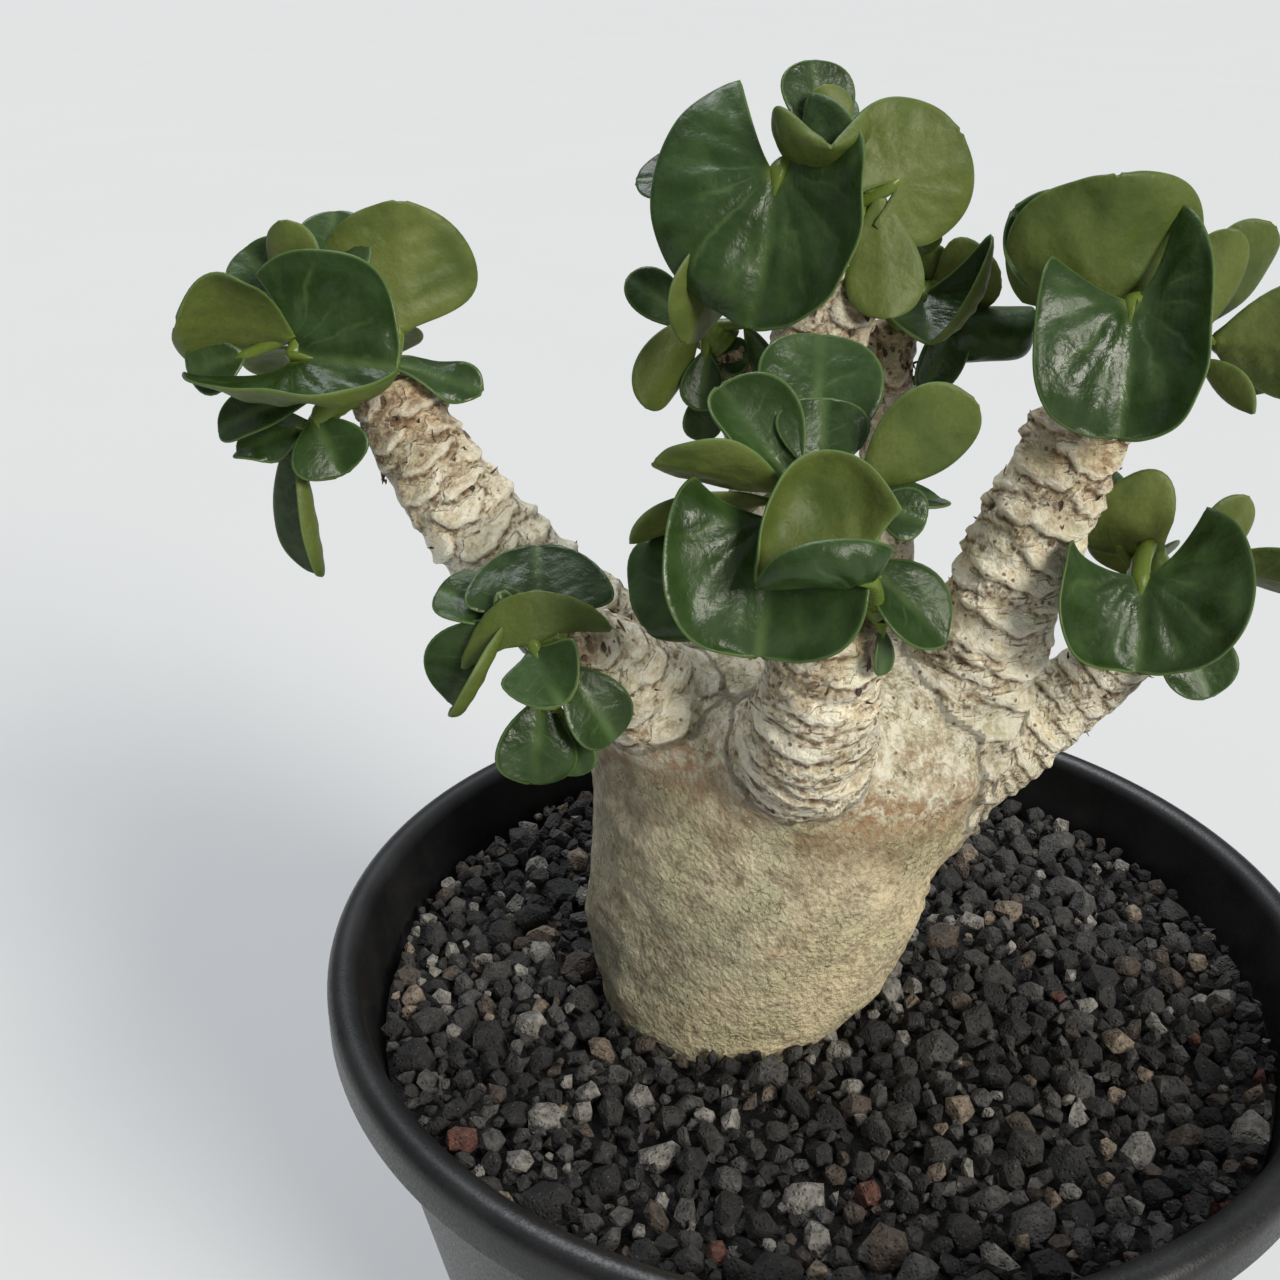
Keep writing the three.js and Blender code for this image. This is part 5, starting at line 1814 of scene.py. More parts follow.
@dataclass
class DryStubs:
    """Dead leaf stubs and curled bark scales on the branches."""

    spines: int = 110
    scales: int = 260
    steps: int = 120
    corners: int = 6
    curls: tuple[float, ...] = (0.2, 0.4, 0.6)
    half_thickness: float = 0.06
    turn_spread: float = 0.3
    seed: int = 23

    def shapes(self) -> Shapes:
        """Makes a thorn-like stub and three thin scales.

        Returns:
            The collection of shapes.
        """
        made = bpy.data.collections.new("stub_shapes")
        bend = np.array([[0, 0, -0.3], [0.02, 0, 0.4], [0.12, 0, 0.8], [0.32, 0.04, 1.15]])
        forms = [tube(bend, np.array([0.3, 0.24, 0.15, 0.03]), self.corners, FRONT)]
        rng = np.random.default_rng(self.seed)
        fan = [(0, 1 + k, 1 + (k + 1) % self.corners) for k in range(self.corners)]
        for curl in self.curls:
            turn = round_turn(self.corners) + rng.uniform(-0.3, 0.3, self.corners)
            reach = rng.uniform(0.45, 1.0, self.corners)
            ring = np.column_stack([reach * np.cos(turn), 0.7 * reach * np.sin(turn), curl * reach**2])
            forms.append(self.thicken(np.vstack([[0, 0, 0], ring]), fan))
        for number, (points, faces) in enumerate(forms):
            part = Sculpt()
            part.add(points, faces)
            shape = part.make(f"stub_shape_{number}", None, smooth=False)
            bpy.context.scene.collection.objects.unlink(shape)
            made.objects.link(shape)
        return made

    def thicken(self, sheet: Array, fan: Faces) -> tuple[Array, Faces]:
        """Gives a small scale a thickness.

        Args:
            sheet: Its points.
            fan: Its faces.

        Returns:
            The points and faces of the closed scale.
        """
        count = len(sheet)
        faces = fan + [tuple(i + count for i in reversed(face)) for face in fan]
        faces += [(b, a, a + count, b + count) for _, a, b in fan]
        half = (0, 0, self.half_thickness)
        return np.vstack([sheet + half, sheet - half]), faces

    def spread(self) -> Sculpt:
        """Chooses where on the branches the stubs and scales stand.

        Returns:
            Their points, with the size, turn, tone and shape of each.
        """
        rng = np.random.default_rng(self.seed)
        places, turns, sizes, kinds = [], [], [], []
        names = list(BRANCHES)
        for number in range(self.spines + self.scales):
            thorn = number < self.spines
            branch = BRANCHES[names[rng.integers(len(names))]]
            centres, radii = follow(branch.line, self.steps)
            forward, side, up = frames_along(centres, FRONT)
            share = rng.uniform(0.35, 0.97) if thorn else 1 - 0.35 * rng.uniform() ** 1.4
            at = min(int(share * (self.steps - 1)), self.steps - 2)
            angle = rng.uniform(0, 2 * math.pi)
            outward = side[at] * math.cos(angle) + up[at] * math.sin(angle)
            places.append(centres[at] + outward * (radii[at] - (0.5 if thorn else 0.1)))
            if thorn:
                aim = outward + 0.5 * forward[at] * rng.uniform(-0.4, 1.0)
                sizes.append([rng.uniform(0.6, 1.2)] * 2 + [rng.uniform(0.8, 2.1)])
                kinds.append(0)
            else:
                aim = outward + rng.uniform(-0.5, 0.5, 3)
                sizes.append([rng.uniform(0.6, 1.9), rng.uniform(0.5, 1.4), rng.uniform(0.6, 1.5)])
                kinds.append(rng.integers(1, 1 + len(self.curls)))
            turns.append(Vector(aim).to_track_quat("Z", "X").to_euler())
        tone = rng.uniform(0, 1, len(places))
        carried = {"size": np.array(sizes), "turn": np.array(turns), "tone": tone}
        points = Sculpt()
        points.add(np.array(places), [], **carried, kind=np.array(kinds, np.int32))
        return points

    def build(self) -> Piece:
        """Sets the stubs on the branches.

        Returns:
            All the stubs as one piece.
        """
        shapes = self.shapes()
        piece = ScatterTree().run(
            self.spread().make("stub_points", None),
            "dry_stubs",
            Shapes=shapes,
            Turn_Spread=self.turn_spread,
            Seed=self.seed,
            Material=DryScale().make(),
        )
        drop(shapes)
        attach(piece, BODY)
        return piece


class BladeSide(Enum):
    """The halves of a leaf blade, seen with its tip away and its glossy face up."""

    LEFT = -1
    RIGHT = 1

    @property
    def place(self) -> int:
        """The half's place in a pair of values."""
        return (self.value + 1) // 2

    @property
    def ripple(self) -> float:
        """Where the margin's ripple starts, so that the halves don't wave alike."""
        return 0.0 if self is BladeSide.RIGHT else 1.7


@dataclass(frozen=True)
class Leaf:
    """One curled leaf.

    at is the blade's foot from the rosette's centre. aim and face are the azimuth and elevation, in
    degrees, of the midrib's start and of the side that the glossy face looks to. bend is how far the
    midrib curls back and cup how far the left and right halves curl up. fan sweeps the halves back past
    the foot, skew widens the right half, wave ripples the margin, and blunt and point shape the tip's
    outline. A leaf with lobes is round instead: lobe is how far each half reaches behind the foot, as a
    share of the length, notch the angle left open on each side of the gap between them, and square how
    boxy the outline is.
    """

    at: Point
    aim: Pair
    face: Pair
    length: float
    width: float
    bend: float
    cup: Pair = (20, 20)
    fan: float = 0.0
    skew: float = 0.0
    blunt: float = 1.5
    point: float = 0.5
    wave: float = 0.0
    lobe: Pair = (0.0, 0.0)
    notch: Pair = (30.0, 30.0)
    square: float = 2.0

    @staticmethod
    def direction(angles: Pair) -> Array:
        """Turns an azimuth and an elevation in degrees into a direction."""
        turn, rise = (np.array([math.cos(angle), math.sin(angle)]) for angle in np.radians(angles))
        return np.append(rise[0] * turn, rise[1])

    def axes(self) -> tuple[Array, Array, Array]:
        """Finds the foot's own directions.

        Returns:
            Forward, towards the glossy face's side, and across.
        """
        forward = self.direction(self.aim)
        face = self.direction(self.face)
        face = unit(face - forward * np.dot(face, forward))
        return forward, face, np.cross(forward, face)

    def half_width(self, t: Array) -> Array:
        """Finds half the width of a leaf without lobes.

        Args:
            t: Shares of its length.

        Returns:
            The widths, as shares of the widest.
        """
        widening, petiole = 0.8, 0.1
        peak = widening / (widening + self.point * self.blunt)
        widest = peak ** (widening / self.blunt) * (1 - peak) ** self.point
        blade = t**widening * np.maximum(1 - t**self.blunt, 0) ** self.point / widest
        return np.maximum(petiole * np.sqrt(np.maximum(1 - t, 0)), blade)

    def midrib(self, foot: Array, t: Array) -> tuple[Array, Array]:
        """Bends the midrib.

        Args:
            foot: Where the blade starts.
            t: Shares of its length, which are less than 0 behind the foot.

        Returns:
            The points, and the direction of the glossy face at each.
        """
        forward, face, _ = self.axes()
        bend = math.radians(self.bend) * np.where(t < 0, -0.5, 1.0)
        theta = bend * np.abs(t)
        safe = np.where(np.abs(bend) < 1e-6, 1e-6, bend)
        sign = np.where(t < 0, -1.0, 1.0) * self.length
        ahead = sign * np.sin(safe * np.abs(t)) / safe
        down = sign * (1 - np.cos(safe * np.abs(t))) / safe
        points = foot + ahead[..., None] * forward - down[..., None] * face
        faces = np.cos(theta)[..., None] * face + np.sin(theta)[..., None] * forward
        return points, faces

    def flat_half(self, t: Array, side: BladeSide, u: Array) -> tuple[Array, Array]:
        """Lays one half out flat.

        Args:
            t: The rows' shares of the length.
            side: Which half.
            u: The columns' shares of the way to the margin.

        Returns:
            How far along the leaf each point is, as a share of the length, and each row's half width.
        """
        full = self.width / 2
        widened = 1 + side.value * self.skew
        lobe, notch = self.lobe[side.place], self.notch[side.place]
        if not lobe:
            half = full * self.half_width(t) * widened
            return np.maximum(t[:, None] - self.fan * (half[:, None] * u / full) ** 2, -1.0), half
        turn = (1 - 2 * np.arcsin(np.minimum(t, 1)) / math.pi) * math.radians(180 - notch)
        ahead = np.sign(np.cos(turn)) * np.abs(np.cos(turn)) ** (2 / self.square)
        reach = (1 - lobe) / 2 + (1 + lobe) / 2 * ahead
        half = full * np.abs(np.sin(turn)) ** (2 / self.square) * widened
        return t[:, None] + (reach - t)[:, None] * u**1.5, half

    def half_blade(self, foot: Array, t: Array, side: BladeSide, columns: int) -> tuple[Array, Array]:
        """Curls the middle surface of one half, from the midrib to the margin.

        Args:
            foot: Where the blade starts.
            t: The rows' shares of the length.
            side: Which half.
            columns: How many columns it gets.

        Returns:
            The points by row and column, and where each lies on the flat blade: along it and across it.
        """
        _, _, across = self.axes()
        sign = side.value
        u = np.linspace(0, 1, columns + 1)
        swept, half = self.flat_half(t, side, u)
        slope = np.radians(self.cup[side.place] * (np.arange(columns) + 0.5) / columns)
        steps = (np.cos(slope), np.sin(slope))
        out, up = (np.append(0.0, np.cumsum(part)) * half[:, None] / columns for part in steps)
        points, faces = self.midrib(foot, swept)
        ripple = self.wave * np.sin(2 * math.pi * t + side.ripple)[:, None] * u**2
        ripple = ripple * np.minimum(1, half / (self.width / 2))[:, None]
        flat = np.stack([swept * self.length, sign * half[:, None] * u], axis=-1)
        return points + sign * out[..., None] * across + (up + ripple)[..., None] * faces, flat


@dataclass
class SheetPlan:
    """How the points of a blade's sheet are numbered: row by row from the foot, and last the tip."""

    rows: int
    width: int

    @property
    def tip(self) -> int:
        """The tip's place."""
        return self.rows * self.width

    def faces(self) -> Faces:
        """Joins the rows by quads, and the last row to the tip by triangles.

        Returns:
            The upper sheet's faces.
        """
        width, tip = self.width, self.tip
        starts = [a for a in range(tip - width) if (a + 1) % width]
        faces: Faces = [(a, a + 1, a + 1 + width, a + width) for a in starts]
        return faces + [(a, a + 1, tip) for a in range(tip - width, tip - 1)]

    def outline(self) -> list[int]:
        """The points round the blade, counterclockwise as seen from above."""
        edges = [[r * self.width + k for r in range(1, self.rows)] for k in (self.width - 1, 0)]
        return [*range(self.width), *edges[0], self.tip, *reversed(edges[1])]

    def inner(self, i: int) -> int:
        """Finds the point just inside a point of the outline.

        Args:
            i: The outline's point.

        Returns:
            Its inner neighbour.
        """
        row, column = divmod(i, self.width)
        if i == self.tip:
            return i - self.width + self.width // 2
        if column in (0, self.width - 1):
            return i + (1 if column == 0 else -1)
        return (row + 1) * self.width + column


@dataclass
class BladeMaker:
    """Turns a leaf's form into a thin solid blade with veins, blisters and a rounded margin."""

    step: float = 0.95
    row_range: tuple[int, int] = (10, 58)
    column_range: tuple[int, int] = (6, 30)
    half_thickness: float = 0.45
    tip_thinning: float = 0.6
    margin_thinning: float = 0.5
    margin_bulge: float = 0.22
    vein_count: float = 5.5
    vein_slant: float = 0.45
    ray_count: float = 7.0
    groove: Pair = (0.2, 1.1)
    blister: float = 0.013
    swell: Lumps = Lumps(0.75, 7.0, 31)
    swell_widths: Pair = (8.0, 30.0)
    ruffle: Lumps = Lumps(0.9, 8.0, 33)

    def row_count(self, leaf: Leaf) -> int:
        """How many rows a blade gets along its midrib and, if it is round, round its margin."""
        margin = 1.5 * ((1 + max(leaf.lobe)) / 2 * leaf.length + leaf.width / 2)
        return int(np.clip((margin if any(leaf.lobe) else leaf.length) / self.step, *self.row_range))

    def phases(self, leaf: Leaf, flat: Array) -> Array:
        """Finds where the points of a blade lie between its side veins.

        Args:
            leaf: The leaf.
            flat: The points on the flat blade.

        Returns:
            Numbers that rise by one from vein to vein.
        """
        away = np.abs(flat[..., 1])
        if any(leaf.lobe):
            return np.arctan2(away, flat[..., 0] + 0.04 * leaf.length) / math.pi * self.ray_count
        return (flat[..., 0] - self.vein_slant * away) * self.vein_count / leaf.length

    def relief(self, leaf: Leaf, grid: Array, marks: Array) -> Array:
        """The height of blisters, the midrib's groove, swellings and the ruffled margin.

        Args:
            leaf: The leaf.
            grid: The middle surface's points.
            marks: Each point's phase, distance from the midrib and distance from the margin.

        Returns:
            The height at each point.
        """
        phase, away, edge = np.moveaxis(marks, -1, 0)
        calm = smoothstep(0.5, 4.0, edge) * smoothstep(0.5, 3.5, away)
        bulge = 0.5 + 0.5 * np.cos(2 * math.pi * phase)
        depth, width = self.groove
        relief = self.blister * leaf.width * calm * bulge - depth * np.exp(-((away / width) ** 2))
        large = smoothstep(*self.swell_widths, np.array(leaf.width))
        places = grid.reshape(-1, 3)
        swell, swing = (lumps.at(places).reshape(edge.shape) for lumps in (self.swell, self.ruffle))
        relief += large * calm * swell
        return relief + swing * smoothstep(5.0, 0.0, edge) * smoothstep(1.0, 6.0, away)

    def make(self, leaf: Leaf, foot: Array, chance: float) -> tuple[Array, Faces, Array, Array]:
        """Builds one blade.

        Args:
            leaf: Its form.
            foot: Where it starts.
            chance: A number that sets it apart from the others.

        Returns:
            Its points, its faces, and the leaf and vein values painted on it.
        """
        rows = self.row_count(leaf)
        columns = int(np.clip(leaf.width / 2 / self.step, *self.column_range))
        t = np.sin(np.linspace(0, math.pi / 2, rows + 1))
        halves = zip(*(leaf.half_blade(foot, t, side, columns) for side in BladeSide))
        grid, flat = (np.concatenate([left[:, ::-1], right[:, 1:]], axis=1) for left, right in halves)
        away = np.abs(flat[..., 1])
        margin = np.vstack([flat[:, 0], flat[:, -1], *([flat[0]] if any(leaf.lobe) else [])])
        edge = np.linalg.norm(flat[:, :, None] - margin, axis=3).min(axis=2)
        beside = np.where(np.arange(2 * columns + 1) < columns, 0.0, 0.35)
        marks = np.stack([self.phases(leaf, flat) + beside + chance, away, edge], axis=-1)
        normal = self.normals(grid, columns)
        grid = grid + normal * self.relief(leaf, grid, marks)[..., None]
        points, faces, loop = self.close(grid, normal)
        total = (len(points) - len(loop)) // 2
        vein = marks.reshape(-1, 3)[:total]
        share = (np.linalg.norm(flat, axis=2) / leaf.length).ravel()[:total]
        face_value = np.repeat([1.0, -1.0, 0.0], [total, total, len(loop)])
        along = np.concatenate([share, share, share[loop]])
        painted_leaf = np.column_stack([face_value, along, np.full(len(along), chance)])
        return points, faces, painted_leaf, np.vstack([vein, vein, vein[loop] * (1, 1, 0)])

    def close(self, grid: Array, normal: Array) -> tuple[Array, Faces, list[int]]:
        """Gives a blade its thickness and its rounded margin.

        Args:
            grid: The middle surface's points.
            normal: The direction that the glossy face looks to, at each.

        Returns:
            The points, the faces, and which points of a sheet are on the outline.
        """
        plan = SheetPlan(len(grid) - 1, grid.shape[1])
        columns, total = plan.width // 2, plan.tip + 1
        thinned = 1 - self.margin_thinning * np.linspace(-1, 1, plan.width) ** 6
        thick = (self.half_thickness * thinned)[None, :, None]
        sheets = []
        for way in (1, -1):
            sheet = (grid + way * normal * thick).reshape(-1, 3)[:total]
            tip_half = way * normal[-1, columns] * self.half_thickness * self.tip_thinning
            sheet[plan.tip] = grid[-1, columns] + tip_half
            sheets.append(sheet)
        faces = plan.faces()
        faces += [tuple(total + i for i in reversed(face)) for face in faces]
        loop = plan.outline()
        middle = grid.reshape(-1, 3)
        inward = np.array([plan.inner(i) for i in loop])
        rim = middle[loop] + unit(middle[loop] - middle[inward]) * self.margin_bulge
        for k, a in enumerate(loop):
            after = (k + 1) % len(loop)
            b = loop[after]
            mid_a, mid_b = 2 * total + k, 2 * total + after
            faces.append((mid_a, mid_b, b, a))
            faces.append((total + a, total + b, mid_b, mid_a))
        return np.vstack([*sheets, rim]), faces, loop

    @staticmethod
    def normals(grid: Array, middle: int) -> Array:
        """Finds the direction that the glossy face looks to.

        Args:
            grid: The middle surface's points.
            middle: The midrib's column.

        Returns:
            The direction at each point.
        """
        normal = unit(np.cross(np.gradient(grid, axis=1), np.gradient(grid, axis=0)))
        normal[-1] = normal[-2, middle]
        return normal


@dataclass
class Rosette:
    """One branch end: its green shoots, and the leaves that grow from them on short stalks."""

    name: str
    centre: Point
    shoots: tuple[tuple[Station, ...], ...]
    leaves: tuple[Leaf, ...]
    stalk: float = 1.3
    least_lean: float = 0.42
    root_steps: int = 21
    shoot_rings: int = 14
    shoot_sides: int = 18
    stalk_rings: int = 9
    stalk_sides: int = 10

    def find_root(self, foot: Array, forward: Array) -> tuple[Array, float, float]:
        """Finds where a leaf's stalk leaves the shoots.

        Args:
            foot: The blade's foot.
            forward: The way its midrib starts.

        Returns:
            The root, its distance from the foot and how well the stalk is in line with the blade.
        """
        best = (math.inf, foot, 0.0, 1.0)
        for line in self.shoots:
            for root in follow(line, self.root_steps)[0]:
                stalk = foot - root
                distance = float(np.linalg.norm(stalk))
                lean = float(np.dot(stalk, forward)) / max(distance, 1e-6)
                cost = distance * (1.4 - lean)
                if cost < best[0]:
                    best = (cost, root, distance, lean)
        return best[1:]

    def stalk_line(self, leaf: Leaf, foot: Array) -> tuple[Array, Array]:
        """Leads a leaf's stalk from the shoot into the blade.

        Args:
            leaf: The leaf.
            foot: Its foot.

        Returns:
            The centre line's points, and the radius at each.
        """
        forward, _, _ = leaf.axes()
        root, distance, lean = self.find_root(foot, forward)
        wide = max(self.stalk * 0.75, 0.045 * leaf.width)
        into = foot + forward * min(4.0, leaf.length * 0.2)
        ease = 0.35 if lean > self.least_lean else 0.1
        before = foot - forward * distance * ease
        share = np.linspace(0, 1, self.stalk_rings)[:, None]
        curve = (1 - share) ** 2 * root + 2 * share * (1 - share) * before + share**2 * foot
        centres = np.vstack([curve, into])
        radii = np.append(np.linspace(self.stalk * 1.25, wide, self.stalk_rings), 0.35)
        return centres, radii

    def build(self, skin: Material) -> Piece:
        """Builds the shoots, stalks and blades as one piece.

        Args:
            skin: The leaves' finish.

        Returns:
            The rosette.
        """
        maker = BladeMaker()
        rng = np.random.default_rng(sum(map(ord, self.name)))
        piece = Sculpt()
        for line in self.shoots:
            centres, radii = follow(line, self.shoot_rings)
            radii = radii * (1 + 0.05 * np.sin(np.arange(self.shoot_rings) * 2.1))
            points, faces = tube(centres, radii, self.shoot_sides, FRONT)
            self.add_plain(piece, points, faces, 0.5)
        for leaf in self.leaves:
            chance = rng.uniform()
            foot = np.array(leaf.at, float) + self.centre
            points, faces, leaf_values, vein_values = maker.make(leaf, foot, chance)
            piece.add(points, faces, leaf=leaf_values, vein=vein_values)
            centres, radii = self.stalk_line(leaf, foot)
            points, faces = tube(centres, radii, self.stalk_sides, leaf.axes()[2], flat=0.6)
            self.add_plain(piece, points, faces, chance)
        made = piece.make(self.name.replace("rosette", "leaves"), skin)
        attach(made, BODY)
        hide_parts(self.name)
        return made

    @staticmethod
    def add_plain(piece: Sculpt, points: Array, faces: Faces, chance: float) -> None:
        """Adds a shoot or stalk, coloured as a leaf's foot.

        Args:
            piece: The rosette.
            points: The part's points.
            faces: Its faces.
            chance: The number that sets its leaf apart.
        """
        count = len(points)
        leaf_values = np.column_stack([np.ones(count), np.zeros(count), np.full(count, chance)])
        piece.add(points, faces, leaf=leaf_values, vein=np.full((count, 3), 5.0))


